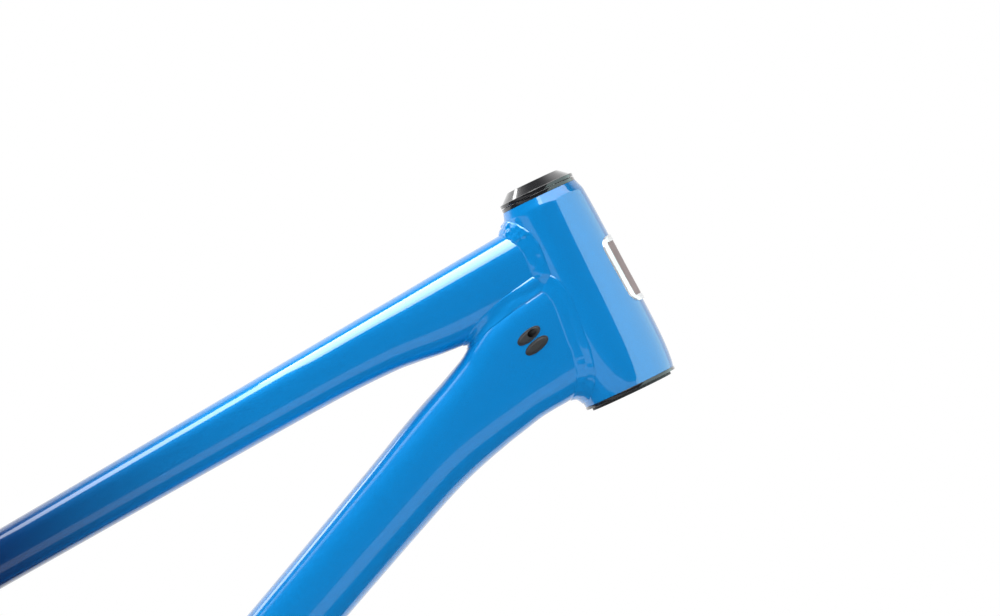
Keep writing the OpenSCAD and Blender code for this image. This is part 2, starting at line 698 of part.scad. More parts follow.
module at_exit() {
    spot = exit_back * down_tube_bend;
    lean = atan2(down_tube_bend[2], down_tube_bend[0]);
    translate(spot) rotate([0, 180 - lean, 0]) translate([0, 0, 12]) children();
}
module exit_grommets() {
    out = 15;
    color(rubber) difference() {
        at_exit() union() {
            oval(port_length - 2 * seam, port_width - 2 * seam, out - 1);
            translate([0, 0, 6]) oval(port_length + 1.6, port_width + 1.6, out - 8);
        }
        difference() {
            down_tube_body(seam);
            at_exit() translate([0, 0, -5]) oval(port_length - 2 * seam, port_width - 2 * seam, 40);
        }
        for (s = [-1, 1]) at_exit() translate([s * 3.6, 0, 0]) rotate([0, s * 12, 0])
            cylinder(r = hose_r - 0.2, h = 60, center = true);
    }
}

// ---------- bottle bosses ----------
boss_r = 3.6;
boss_rim_r = 5.5;
function seat_boss_z(k) = 104 + k * bottle_spacing;
module on_down_tube_top(k) {
    s = norm(down_tube_bend);
    spot = (0.42 + k * bottle_spacing / s) * down_tube_bend;
    lean = atan2(down_tube_bend[2], down_tube_bend[0]);
    half = lookup(down_tube_length - norm(spot), down_tube_h) / 2;
    translate(spot) rotate([0, -lean, 0]) translate([0, 0, half]) children();
}
module boss() {
    difference() {
        union() {
            translate([0, 0, -10]) cylinder(r = boss_r - slip, h = 10);
            translate([0, 0, 0.3]) cylinder(r = boss_rim_r, h = 1.1);
            translate([0, 0, -1]) cylinder(r = boss_r - slip, h = 2);
        }
        translate([0, 0, -11]) cylinder(r = 2.1, h = 20);
    }
}
module bottle_bosses() {
    color(steel) {
        for (k = [0, 1]) on_down_tube_top(k) boss();
        for (k = [0, 1]) on_seat_tube() translate([seat_tube_r, 0, seat_boss_z(k)]) rotate([0, 90, 0]) boss();
    }
}

// ---------- seat collar ----------
ear_x = -(seat_tube_r + 0.6 + collar_wall + 4.5);
ear_half = 6;
ear_gap = 1.5;
collar_bolt_r = 2.5;
nut_r = 4.5;
module at_collar() {
    on_seat_tube() translate([0, 0, seat_tube_length - collar_height + 1]) children();
}
module collar_bolt_axis() {
    translate([ear_x, 0, collar_height / 2]) rotate([90, 0, 0]) children();
}
module seat_collar() {
    inner = seat_tube_r + 0.6 + seam;
    color(black_metal) at_collar() difference() {
        union() {
            cylinder(r = inner + collar_wall, h = collar_height);
            translate([ear_x - ear_half, -8, 0]) cube([ear_half * 2, 16, collar_height]);
            translate([0, 0, collar_height - 1.6]) cylinder(r = inner + collar_wall + 0.6, h = 1.6);
        }
        translate([0, 0, -1]) cylinder(r = inner, h = collar_height);
        translate([0, 0, -1]) cylinder(r = seatpost_r + 0.2, h = collar_height + 3);
        translate([-60, -ear_gap, -1]) cube([60, 2 * ear_gap, collar_height + 2]);
        collar_bolt_axis() cylinder(r = collar_bolt_r + slip, h = 40, center = true);
        collar_bolt_axis() translate([0, 0, 8 - 3]) cylinder(r = nut_r + slip, h = 10);
    }
}
module seat_collar_bolt() {
    color(black_metal) at_collar() collar_bolt_axis() difference() {
        union() {
            translate([0, 0, -8 - 5]) cylinder(r = nut_r - 0.3, h = 5 - slip);
            translate([0, 0, -9]) cylinder(r = collar_bolt_r - slip, h = 17);
        }
        translate([0, 0, -14]) cylinder(r = 2.3, h = 4, $fn = 6);
    }
}
module seat_collar_nut() {
    color(steel) at_collar() collar_bolt_axis() translate([0, 0, 8 - 3 + slip]) difference() {
        cylinder(r = nut_r, h = 4);
        translate([0, 0, -1]) cylinder(r = collar_bolt_r, h = 6);
    }
}

// ---------- chainstay guard and hose guides ----------
module chainstay_guard() {
    line = chainstay_line(-1);
    from = 0.32;
    to = 0.8;
    path = stay_path(line, from, to, 8);
    start = reached(stay_path(line, 0, from, 8), 8);
    hs = [for (p = chainstay_hs) [p[0] - start, p[1]]];
    ws = [for (p = chainstay_ws) [p[0] - start, p[1]]];
    color(rubber) difference() {
        tube(path, hs, ws, 2.3, 2.2, 20);
        chainstay_body(-1, 0.12);
    }
}
guide_spots = [0.3, 0.47, 0.64];
module at_guide(t) {
    a = bezier(chainstay_line(1), t - 0.02);
    b = bezier(chainstay_line(1), t + 0.02);
    d = b - a;
    translate((a + b) / 2)
        rotate([0, atan2(d[2], -d[0]), 0]) rotate([0, 0, atan2(d[1], d[0]) - 180]) children();
}
module hose_guides() {
    color(rubber) difference() {
        for (t = guide_spots) at_guide(t)
            translate([-6, -7, 0]) cube([12, 14, chainstay_h / 2 + 6.5]);
        for (t = guide_spots) at_guide(t) translate([0, -3, chainstay_h / 2 + 3])
            rotate([0, 90, 0]) cylinder(r = hose_r, h = 30, center = true);
        for (t = guide_spots) at_guide(t) translate([0, 3.8, chainstay_h / 2]) cylinder(r = 1.6, h = 20);
        chainstay_body(1, seam);
    }
}
module guide_screws() {
    color(steel) for (t = guide_spots) at_guide(t) translate([0, 3.8, chainstay_h / 2 + 0.5]) {
        cylinder(r = 1.6 - slip, h = 6);
        translate([0, 0, 6 + slip]) cylinder(r = 2.8, h = 1.6);
    }
}

head_tube();
top_tube();
down_tube();
seat_tube();
seat_tube_gusset();
bottom_bracket_shell();
chainstay(-1);  // chainstay_right
chainstay(1);  // chainstay_left
chainstay_bridge();
seatstay(-1);  // seatstay_right
seatstay(1);  // seatstay_left
seatstay_bridge();
dropout(-1);  // dropout_right
dropout(1);  // dropout_left
brake_mount();
upper_cup();
at_upper_bearing() outer_race(upper_bearing);  // upper_outer_race
at_upper_bearing() inner_race(upper_bearing, true);  // upper_inner_race
at_upper_bearing() balls(upper_bearing);  // upper_balls
at_upper_bearing() ball_cage(upper_bearing);  // upper_ball_cage
at_upper_bearing() bearing_seals(upper_bearing);  // upper_bearing_seals
compression_ring();
upper_cover();
upper_cover_seal();
lower_cup();
at_lower_bearing() outer_race(lower_bearing);  // lower_outer_race
at_lower_bearing() inner_race(lower_bearing, false);  // lower_inner_race
at_lower_bearing() balls(lower_bearing);  // lower_balls
at_lower_bearing() ball_cage(lower_bearing);  // lower_ball_cage
at_lower_bearing() bearing_seals(lower_bearing);  // lower_bearing_seals
crown_race();
crown_race_seal();
head_badge();
cable_grommets();
port_plug();
exit_grommets();
bottle_bosses();
seat_collar();
seat_collar_bolt();
seat_collar_nut();
derailleur_hanger();
hanger_screws();
thru_axle();
axle_washer();
chainstay_guard();
hose_guides();
guide_screws();
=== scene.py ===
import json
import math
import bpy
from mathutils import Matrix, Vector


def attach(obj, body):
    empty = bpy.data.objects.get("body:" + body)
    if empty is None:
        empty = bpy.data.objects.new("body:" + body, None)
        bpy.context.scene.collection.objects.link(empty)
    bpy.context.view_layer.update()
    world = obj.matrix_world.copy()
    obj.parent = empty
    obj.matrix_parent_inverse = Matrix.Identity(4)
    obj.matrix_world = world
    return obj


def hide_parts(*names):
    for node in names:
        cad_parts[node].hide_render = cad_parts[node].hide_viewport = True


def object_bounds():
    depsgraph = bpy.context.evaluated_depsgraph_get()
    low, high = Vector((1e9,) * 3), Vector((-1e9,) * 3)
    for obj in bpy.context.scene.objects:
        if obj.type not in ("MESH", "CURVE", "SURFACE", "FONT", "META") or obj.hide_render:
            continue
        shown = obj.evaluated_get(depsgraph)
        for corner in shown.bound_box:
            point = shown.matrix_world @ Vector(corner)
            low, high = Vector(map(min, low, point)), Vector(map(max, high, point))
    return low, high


bl_info = {
    "name": "Bicycle Frame Builder",
    "version": (1, 0, 0),
    "blender": (4, 5, 0),
    "location": "3D View > Sidebar > Bicycle Frame",
    "description": "Builds a painted, welded aluminium trail frame with its headset, ports and fittings",
    "category": "Object",
}

import bmesh
import bpy
import numpy as np
from bpy.props import FloatProperty, FloatVectorProperty, PointerProperty
from mathutils import Matrix, Vector

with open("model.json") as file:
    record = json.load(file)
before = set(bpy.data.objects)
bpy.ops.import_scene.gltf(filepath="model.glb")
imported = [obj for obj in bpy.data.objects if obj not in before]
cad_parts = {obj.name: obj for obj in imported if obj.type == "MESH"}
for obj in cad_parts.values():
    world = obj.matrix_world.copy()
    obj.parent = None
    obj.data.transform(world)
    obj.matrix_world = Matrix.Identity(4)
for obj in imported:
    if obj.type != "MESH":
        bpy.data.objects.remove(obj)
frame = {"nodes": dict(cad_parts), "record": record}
NODES = frame["nodes"]
CAD_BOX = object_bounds()
MM = 0.001
X, Y, Z = Vector((1, 0, 0)), Vector((0, 1, 0)), Vector((0, 0, 1))
CAMERA_X, CAMERA_Z = 0.4451, 0.5691     # where the camera's axis crosses the frame's middle plane
STAY_WALL = 0.0016                      # stays, bridges and strut
CARD_HEIGHT = 2.65                      # the overhead soft boxes, above the origin
NOISE_LOW, NOISE_HIGH = 0.3, 0.7        # the part of 0 to 1 that a noise really uses


# ---------------- sizes and colours a user may change
def length_setting(label, text, metres):
    return FloatProperty(name=label, description=text, default=metres, unit="LENGTH")


def angle_setting(label, text, degrees):
    return FloatProperty(name=label, description=text, default=math.radians(degrees), unit="ROTATION")


def colour_setting(label, text, rgb):
    return FloatVectorProperty(name=label, description=text, subtype="COLOR", default=rgb)


class FrameSizes(bpy.types.PropertyGroup):
    reach: length_setting("Reach", "Bottom bracket to head tube top, level", 0.470)
    stack: length_setting("Stack", "Bottom bracket to head tube top, upright", 0.640)
    head_angle: angle_setting("Head angle", "Steering axis from the level", 64.5)
    seat_angle: angle_setting("Seat angle", "Seat tube from the level", 75)
    head_length: length_setting("Head tube length", "Length of the head tube", 0.134)
    tube_wall: length_setting("Tube wall", "Wall of the drawn tubes", 0.0018)
    weld_width: length_setting("Weld width", "Width of the smoothed weld on each side", 0.0066)
    badge_length: length_setting("Badge length", "Head badge, along the head tube", 0.046)
    badge_width: length_setting("Badge width", "Head badge, seen from the front", 0.040)
    port_length: length_setting("Port length", "Cable port, along its long side", 0.0165)
    port_width: length_setting("Port width", "Cable port, across", 0.0068)


class FrameColours(bpy.types.PropertyGroup):
    bright: colour_setting("Bright blue", "Paint at the front of the frame", (0.0, 0.205, 0.545))
    navy: colour_setting("Navy", "Paint at the back of the frame", (0.0, 0.012, 0.080))
    fade_start: length_setting("Fade start", "Where the navy starts to turn blue", 0.085)
    fade_end: length_setting("Fade end", "Where the blue is full", 0.315)
    black: colour_setting("Black", "Anodised headset and bolts", (0.012, 0.012, 0.014))
    rubber: colour_setting("Rubber", "Grommets, seals and guards", (0.018, 0.018, 0.019))


class StudioSizes(bpy.types.PropertyGroup):
    lens: FloatProperty(name="Lens", description="Camera lens, millimetres", default=169.5)
    distance: length_setting("Camera distance", "Camera to the frame's middle plane", 3.0)
    floor_gap: length_setting("Floor gap", "Floor below the lowest point", 0.0)


def sizes():
    return bpy.context.scene.frame_sizes


def colours():
    return bpy.context.scene.frame_colours


# ---------------- tables, tubes and surfaces
def smooth_value(table, x):
    """The value at x of a smooth curve through the table's points, with no overshoot."""
    if x <= table[0][0]:
        return table[0][1]
    if x >= table[-1][0]:
        return table[-1][1]
    n = len(table)
    gaps = [table[i + 1][0] - table[i][0] for i in range(n - 1)]
    slopes = [(table[i + 1][1] - table[i][1]) / gaps[i] for i in range(n - 1)]
    k = next(i for i in range(n - 1) if x <= table[i + 1][0])

    def tangent(i):
        if i == 0:
            return slopes[0]
        if i == n - 1:
            return slopes[-1]
        a, b = slopes[i - 1], slopes[i]
        return 0 if a * b <= 0 else 2 * a * b / (a + b)

    t, h = (x - table[k][0]) / gaps[k], gaps[k]
    return ((2 * t**3 - 3 * t**2 + 1) * table[k][1] + (t**3 - 2 * t**2 + t) * h * tangent(k)
            + (3 * t**2 - 2 * t**3) * table[k + 1][1] + (t**3 - t**2) * h * tangent(k + 1))


def along(angle):
    """A way in the frame's middle plane, at this angle from the level."""
    return Vector((math.cos(angle), 0, math.sin(angle)))


def power(v, e):
    return math.copysign(abs(v) ** (2 / e), v)


class Tube:
    """A drawn tube: its path, its section's height and width against distance, and how square it is."""

    def __init__(self, path, heights, widths, square):
        self.path = path
        self.s = [0.0]
        for a, b in zip(path, path[1:]):
            self.s.append(self.s[-1] + (b - a).length)
        self.length = self.s[-1]
        self.centres, self.sides, self.ups, self.ways = [], [], [], []
        for i, p in enumerate(path):
            way = (path[min(i + 1, len(path) - 1)] - path[max(i - 1, 0)]).normalized()
            side = Z.cross(way).normalized()
            self.centres.append(p)
            self.sides.append(side)
            self.ups.append(way.cross(side))
            self.ways.append(way)
        self.h = [smooth_value(heights, s) for s in self.s]
        self.w = [smooth_value(widths, s) for s in self.s]
        self.e = [smooth_value(square, s) for s in self.s]
        self.c_array = np.array(self.centres)
        self.t_array = np.array(self.ways)

    def frame_at(self, s):
        s = min(max(s, 0.0), self.length)
        k = min(int(np.searchsorted(self.s, s, side="right")) - 1, len(self.s) - 2)
        t = (s - self.s[k]) / (self.s[k + 1] - self.s[k])
        rows = (self.centres, self.sides, self.ups, self.h, self.w, self.e)
        return [row[k] * (1 - t) + row[k + 1] * t for row in rows]

    def point(self, s, angle, grow=0.0):
        c, side, up, h, w, e = self.frame_at(s)
        return (c + side * (power(math.cos(angle), e) * (w / 2 + grow))
                + up * (power(math.sin(angle), e) * (h / 2 + grow)))

    def distance(self, p):
        """Roughly how far p is outside the tube's surface, and less than nothing inside it."""
        ahead = ((np.array(p) - self.c_array) * self.t_array).sum(1)
        k = int(np.clip(np.searchsorted(-ahead, 0) - 1, 0, len(self.s) - 2))
        run = ahead[k] - ahead[k + 1]
        t = min(max(ahead[k] / run if run > 1e-12 else 0.0, 0.0), 1.0)
        c, side, up, h, w, e = self.frame_at(self.s[k] + t * (self.s[k + 1] - self.s[k]))
        x, y = (p - c).dot(side), (p - c).dot(up)
        g = ((abs(x) / (w / 2)) ** e + (abs(y) / (h / 2)) ** e) ** (1 / e)
        return math.hypot(x, y) * (1 - 1 / max(g, 1e-6))


def cylinder_distance(origin, axis, radius):
    def distance(p):
        q = p - origin
        return (q - axis * q.dot(axis)).length - radius
    return distance


def either(*distances, blend=0.003):
    """The distance to the nearest of several surfaces, rounded where two of them meet."""
    def distance(p):
        d = distances[0](p)
        for other in distances[1:]:
            o = other(p)
            k = max(blend - abs(d - o), 0) / blend
            d = min(d, o) - k * k * blend / 4
        return d
    return distance


def slope_of(distance, p, step=0.0002):
    g = Vector((distance(p + X * step) - distance(p - X * step),
                distance(p + Y * step) - distance(p - Y * step),
                distance(p + Z * step) - distance(p - Z * step)))
    return g.normalized()


def onto(distance, p):
    """The point of a surface that lies nearest to p."""
    for _ in range(4):
        p = p - slope_of(distance, p) * distance(p)
    return p


class Layout:
    """Where everything on the frame is, worked out from the sizes."""

    def __init__(self, f):
        self.head_top = Vector((f.reach, 0, f.stack))
        self.steer_up = -along(-f.head_angle)
        self.head_length = f.head_length
        self.head_low = self.head_top - self.steer_up * f.head_length
        self.steer_front = Y.cross(self.steer_up).normalized()
        if self.steer_front.x < 0:
            self.steer_front.negate()
        self.seat_up = along(math.pi - f.seat_angle)
        stay_length, axle_rise = 0.435, 0.060
        self.rear_axle = Vector((-math.sqrt(stay_length**2 - axle_rise**2), 0, axle_rise))
        self.seat_r = 0.01745
        self.shell_r = 0.021

        # top tube
        a = self.head_top - self.steer_up * 0.0086
        b = self.seat_up * 0.317
        line = b - a
        heights = [(0, .054), (.060, .051), (.084, .0492), (.100, .047), (.116, .0438), (.132, .0412),
                   (.176, .0382), (.265, .0362), (.411, .0336), (line.length, .030)]
        widths = [(0, .046), (.120, .042), (.411, .038), (line.length, 2 * self.seat_r - .001)]
        down = line.cross(Y).normalized()
        path = [a + line * (i / 160) + down * (smooth_value(heights, line.length * i / 160) / 2)
                for i in range(161)]
        self.top_tube = Tube(path, heights, widths, [(0, 2.8), (1, 2.8)])

        # down tube
        front = self.head_top - self.steer_up * 0.088
        self.front_way = along(math.radians(33))
        bend_at, bend_reach = 0.088, 0.062
        bend = front - self.front_way * bend_at
        p0, p2 = bend + self.front_way * bend_reach, bend - bend.normalized() * bend_reach
        curve = [p0 * (1 - t)**2 + bend * (2 * t * (1 - t)) + p2 * t**2 for t in (i / 40 for i in range(41))]
        course = [front + (p0 - front) * (i / 12) for i in range(12)] + curve
        course += [p2 * (1 - i / 90) for i in range(1, 91)]
        # near the head tube the section grows upwards, to meet the top tube
        rise = [(0, .012), (.035, .0115), (.050, .0095), (.065, .006), (.080, .002), (.100, 0)]
        path, reached = [], 0.0
        for i, p in enumerate(course):
            reached += (p - course[max(i - 1, 0)]).length
            way = (course[min(i + 1, len(course) - 1)] - course[max(i - 1, 0)]).normalized()
            path.append(p + way.cross(Z.cross(way).normalized()) * (smooth_value(rise, reached) / 2))
        total = bend.length + bend_at
        heights = [(0, .079), (.035, .0765), (.050, .0735), (.065, .0675), (.080, .0615), (.110, .056),
                   (.165, .0513), (.270, .049), (total - .170, .047), (total, .039)]
        widths = [(0, .054), (.110, .053), (.270, .051), (total - .170, .056), (total, .060)]
        square = [(0, 4), (.050, 3.8), (.140, 2.6), (total, 2.5)]
        self.down_tube = Tube(path, heights, widths, square)
        self.down_front = front

        # seat tube and the small strut above the top tube
        round_section = [(0, 2), (1, 2)]
        height = [(0, 2 * self.seat_r), (.4, 2 * self.seat_r)]
        self.seat_tube = Tube([self.seat_up * (0.37 * i / 60) for i in range(61)], height, height, round_section)
        start = b - line.normalized() * 0.066 - Z * 0.004
        end = self.seat_up * 0.357
        gusset = [(0, .019), (.2, .019)]
        self.gusset = Tube([start + (end - start) * (i / 30) for i in range(31)], gusset, gusset, round_section)

    def head_radius(self, z):
        length = self.head_length
        return smooth_value([(0, .0308), (.004, .03157), (.012, .03225), (.021, .0325),
                             (length / 2 + .007, .0304), (length - .007, .0277), (length - .003, .02638),
                             (length, .0253)], z)

    def head_distance(self, p):
        q = p - self.head_low
        z = q.dot(self.steer_up)
        return (q - self.steer_up * z).length - self.head_radius(z)

    def stay(self, kind, side):
        axle, top = self.rear_axle, self.seat_up * 0.281
        if kind == "chainstay":
            p = [Vector((-.008, side * .026, -.002)), Vector((-.070, side * .052, -.006)),
                 Vector((axle.x * .46, side * .062, .0222)), axle + Vector((.033, side * .080, -.006))]
            h = [(0, .024), (.2, .020), (.435, .018)]
            w = [(0, .016), (.2, .016), (.435, .011)]
        else:
            p = [top + Vector((-.001, side * .010, 0)), top + Vector((-.027, side * .052, -.010)),
                 axle + Vector((.211, side * .058, .130)), axle + Vector((.019, side * .080, .026))]
            h = [(0, .021), (.2, .019), (.435, .016)]
            w = [(0, .014), (.2, .013), (.405, .011)]
        path = [p[0] * (1 - t)**3 + p[1] * (3 * (1 - t)**2 * t) + p[2] * (3 * (1 - t) * t * t) + p[3] * t**3
                for t in (i / 90 for i in range(91))]
        return Tube(path, h, w, [(0, 2.3), (1, 2.3)])

    def bridge(self, kind):
        tube = self.stay(kind, 1)
        spot = tube.path[15 if kind == "chainstay" else 18]
        size = [(0, .014), (.2, .014)]
        path = [Vector((spot.x, -spot.y + 2 * spot.y * i / 20, spot.z)) for i in range(21)]
        return Tube(path, size, size, [(0, 2), (1, 2)])


# ---------------- making meshes
def new_piece(name, bm):
    bmesh.ops.recalc_face_normals(bm, faces=bm.faces)
    mesh = bpy.data.meshes.new(name)
    bm.to_mesh(mesh)
    bm.free()
    piece = bpy.data.objects.new(name, mesh)
    bpy.context.scene.collection.objects.link(piece)
    return piece


def pick_none():
    """Leaves edit mode, with nothing selected."""
    if bpy.context.mode != "OBJECT":
        bpy.ops.object.mode_set(mode="OBJECT")
    bpy.ops.object.select_all(action="DESELECT")


def pick(piece):
    """Selects one piece only, and makes it active."""
    pick_none()
    piece.select_set(True)
    bpy.context.view_layer.objects.active = piece


def smooth(piece, angle=40):
    pick(piece)
    bpy.ops.object.shade_smooth_by_angle(angle=math.radians(angle))


def rounded_edges(piece, width):
    pick(piece)
    m = piece.modifiers.new("rounded edges", "BEVEL")
    m.width, m.segments, m.limit_method, m.angle_limit = width, 3, "ANGLE", math.radians(35)
    m.use_clamp_overlap = True
    m.miter_outer = "MITER_ARC"
    bpy.ops.object.modifier_apply(modifier=m.name)


def hand_over(piece, body, slot, *nodes):
    """Gives a finished piece its place in the frame, its finish and the plain parts it stands for."""
    piece.data.materials.clear()
    piece.data.materials.append(FINISHES[slot]())
    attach(piece, body)
    if nodes:
        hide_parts(*nodes)


def painted(piece, *nodes):
    hand_over(piece, "frame", "frame_paint", *nodes)


def skin(bm, rings):
    """Joins each ring of points to the next with a band of faces."""
    for ring, after in zip(rings, rings[1:]):
        for k in range(len(ring)):
            j = (k + 1) % len(ring)
            bm.faces.new((ring[k], ring[j], after[j], after[k]))


def tube_piece(name, tube, wall, around, start=0.0, end=None, every=0.004):
    """A smooth hollow tube with closed rims."""
    end = tube.length if end is None else end
    count = max(8, int((end - start) / every))
    bm = bmesh.new()
    layers = []
    for grow in (0.0, -wall):
        rings = []
        for i in range(count + 1):
            s = start + (end - start) * i / count
            rings.append([bm.verts.new(tube.point(s, 2 * math.pi * k / around, grow)) for k in range(around)])
        layers.append(rings)
    for rings in layers:
        skin(bm, rings)
    for i in (0, -1):
        skin(bm, (layers[0][i], layers[1][i]))
    piece = new_piece(name, bm)
    smooth(piece, 60)
    return piece


def join_doubles(within):
    bpy.ops.mesh.select_all(action="SELECT")
    bpy.ops.mesh.remove_doubles(threshold=within)


def turned(name, profile, origin, axis, steps, bevel=0.0):
    """A ring turned on a lathe. The profile is a closed line of (radius, height) points, in millimetres."""
    pick_none()
    front = Y.cross(axis).normalized()
    spots = [origin + front * (r * MM) + axis * (z * MM) for r, z in profile]
    bpy.ops.mesh.primitive_plane_add(size=0.001, location=spots[0])
    piece = bpy.context.active_object
    piece.name = piece.data.name = name
    bpy.ops.object.transform_apply(location=True, rotation=True, scale=True)
    bpy.ops.object.mode_set(mode="EDIT")
    bpy.ops.mesh.select_all(action="SELECT")
    bpy.ops.mesh.merge(type="CENTER")
    for a, b in zip(spots, spots[1:] + spots[:1]):
        bpy.ops.mesh.extrude_region_move(TRANSFORM_OT_translate={"value": b - a})
    join_doubles(0.002 * MM)
    bpy.ops.mesh.select_all(action="SELECT")
    bpy.ops.mesh.spin(steps=steps, angle=2 * math.pi, center=origin, axis=axis)
    join_doubles(0.002 * MM)
    bpy.ops.mesh.normals_make_consistent(inside=False)
    bpy.ops.object.mode_set(mode="OBJECT")
    if bevel:
        rounded_edges(piece, bevel * MM)
    smooth(piece)
    return piece


def softened(name, node, width):
    """A copy of a machined part with its edges rounded over."""
    pick_none()
    piece = bpy.data.objects.new(name, NODES[node].data.copy())
    piece.data.name = name
    bpy.context.scene.collection.objects.link(piece)
    pick(piece)
    bpy.ops.object.mode_set(mode="EDIT")
    join_doubles(0.01 * MM)
    bpy.ops.mesh.dissolve_limited(angle_limit=math.radians(2))
    bpy.ops.object.mode_set(mode="OBJECT")
    marks = piece.data.attributes
    if "custom_normal" in marks:
        marks.remove(marks["custom_normal"])
    rounded_edges(piece, width * MM)
    smooth(piece)
    return piece


def wave(i, count, seed):
    """A little unevenness that closes on itself round a loop of count steps."""
    t = 2 * math.pi * i / count
    return (math.sin(17 * t + seed) + 0.7 * math.sin(29 * t + 2.1 * seed)
            + 0.5 * math.sin(41 * t + 3.7 * seed)) / 2.2


def run_in(tube, angle, target, start, end):
    """Where the tube's line at this angle, followed from start to end, first meets the target."""
    steps, low, high = 60, start, end
    for k in range(1, steps + 1):
        high = start + (end - start) * k / steps
        if target(tube.point(high, angle)) <= 0:
            break
        low = high
    for _ in range(16):
        mid = (low + high) / 2
        if target(tube.point(mid, angle)) <= 0:
            high = mid
        else:
            low = mid
    return (low + high) / 2


def evened(points, times):
    """Points round a closed loop, with each drawn towards its neighbours."""
    for _ in range(times):
        points = [(points[i - 1] + points[i] * 2 + points[(i + 1) % len(points)]) / 4 for i in range(len(points))]
    return points


# where a weld's cross-section has points, from one toe to the other
WELD_SPOTS = (0, 0.025, 0.05, 0.08, 0.13, 0.2, 0.28, 0.36, 0.43, 0.5,
              0.57, 0.64, 0.72, 0.8, 0.87, 0.92, 0.95, 0.975, 1)
EDGE_DIP, CORE_DIP = 0.0007, 0.0012     # how far the hidden side lies under the surfaces
TOE = 0.07          # how much of the section each toe takes to rise
LUMP_SPREAD = 0.24  # how far from its middle a lump has sunk to about a third, in radians


def weld_piece(name, tube, target, start, end, width, lift=0.0011, samples=220, seed=1.0, proud=0.00035, lumps=(),
               lump_size=1.0):
    """A smoothed weld round the line where a tube runs into another surface. Each lump is an angle round the
    tube, in degrees, where the last pass was left uneven."""
    angles = [2 * math.pi * i / samples for i in range(samples)]
    line = evened([tube.point(run_in(tube, a, target, start, end), a) for a in angles], 3)
    on_tube, on_target = [], []
    for i, here in enumerate(line):
        way = (line[(i + 1) % samples] - line[i - 1]).normalized()
        n_tube, n_target = slope_of(tube.distance, here), slope_of(target, here)
        back, out = n_tube.cross(way).normalized(), n_target.cross(way).normalized()
        if target(here + back * 0.002) < target(here - back * 0.002):
            back.negate()
        if out.dot(n_tube) < 0:
            out.negate()
        uneven = 1 + 0.05 * wave(i, samples, seed)
        on_tube.append(onto(tube.distance, here + back * (width * uneven)))
        on_target.append(onto(target, here + out * (width * (2 - uneven))))
    on_tube, on_target = evened(on_tube, 4), evened(on_target, 4)
    bm = bmesh.new()
    rings = []
    for i, here in enumerate(line):
        a, b = onto(tube.distance, on_tube[i]), onto(target, on_target[i])
        n_a, n_b = slope_of(tube.distance, a), slope_of(target, b)
        n_mid = (n_a + n_b).normalized()
        corner = here + n_mid * lift
        apart = [math.remainder(angles[i] - math.radians(c), 2 * math.pi) for c in lumps]
        near = sum(math.exp(-(v / LUMP_SPREAD) ** 2) for v in apart)
        ring = [a - n_a * EDGE_DIP]
        for t in WELD_SPOTS:
            p = a * (1 - t)**2 + corner * (2 * t * (1 - t)) + b * t * t
            n = (n_a * (1 - t) + n_b * t).normalized()
            toe = min(min(t, 1 - t) / TOE, 1.0)
            toe = toe * toe * (3 - 2 * toe)
            two_passes = 0.8 + 0.2 * abs(math.sin(2 * math.pi * t))
            ripple = 0.16 * math.sin(math.pi * t) * wave(i, samples, seed + 5 + 2.5 * (t > 0.5))
            rough = 1.0 + wave(i, samples, seed + 9) * math.cos(6 * t + seed)
            lump = near * lump_size * math.sin(math.pi * t) * rough
            ring.append(p + n * (proud * toe * (two_passes + ripple + lump)))
        ring.append(b - n_b * EDGE_DIP)
        ring.append(here - n_mid * CORE_DIP)
        rings.append([bm.verts.new(p) for p in ring])
    skin(bm, rings + rings[:1])
    piece = new_piece(name, bm)
    smooth(piece, 50)
    return piece


# ---------------- finishes
def shader(name):
    """A new material, its nodes and its Principled shader."""
    m = bpy.data.materials.new(name)
    m.use_nodes = True
    return m, m.node_tree.nodes, m.node_tree.nodes["Principled BSDF"]


def fresh(nodes, *kinds):
    return [nodes.new(f"ShaderNode{kind}") for kind in kinds]


def put(node, values):
    for name, value in values.items():
        node.inputs[name].default_value = value


def join(output, node, *names):
    """Feeds one node's output to the named inputs of another node."""
    for name in names:
        node.id_data.links.new(output, node.inputs[name])


def worked(operation, *terms):
    """The output of a math node. Each term is a number or another node's output."""
    node, = fresh(terms[0].id_data.nodes, "Math")
    node.operation = operation
    for i, term in enumerate(terms):
        if isinstance(term, float):
            put(node, {i: term})
        else:
            join(term, node, i)
    return node.outputs[0]


def mapped(value, start, end, low=0.0, high=1.0, kind="LINEAR"):
    """An output mapped from the range start to end to the range low to high."""
    node, = fresh(value.id_data.nodes, "MapRange")
    node.interpolation_type = kind
    put(node, {"From Min": start, "From Max": end, "To Min": low, "To Max": high})
    join(value, node, "Value")
    return node.outputs["Result"]


def mixed(factor, first, second):
    """The output of a mix of two shaders."""
    node, = fresh(factor.id_data.nodes, "MixShader")
    for i, output in enumerate((factor, first, second)):
        join(output, node, i)
    return node.outputs[0]


def position(nodes, kind="Object"):
    """The output that gives a point's place, and its separate X, Y and Z outputs."""
    place, parts = fresh(nodes, "TexCoord", "SeparateXYZ")
    join(place.outputs[kind], parts, "Vector")
    return place.outputs[kind], parts.outputs


def uneven_surface(height, shader_node, strength, distance):
    node, = fresh(height.id_data.nodes, "Bump")
    put(node, {"Strength": strength, "Distance": distance})
    join(height, node, "Height")
    join(node.outputs["Normal"], shader_node, "Normal")


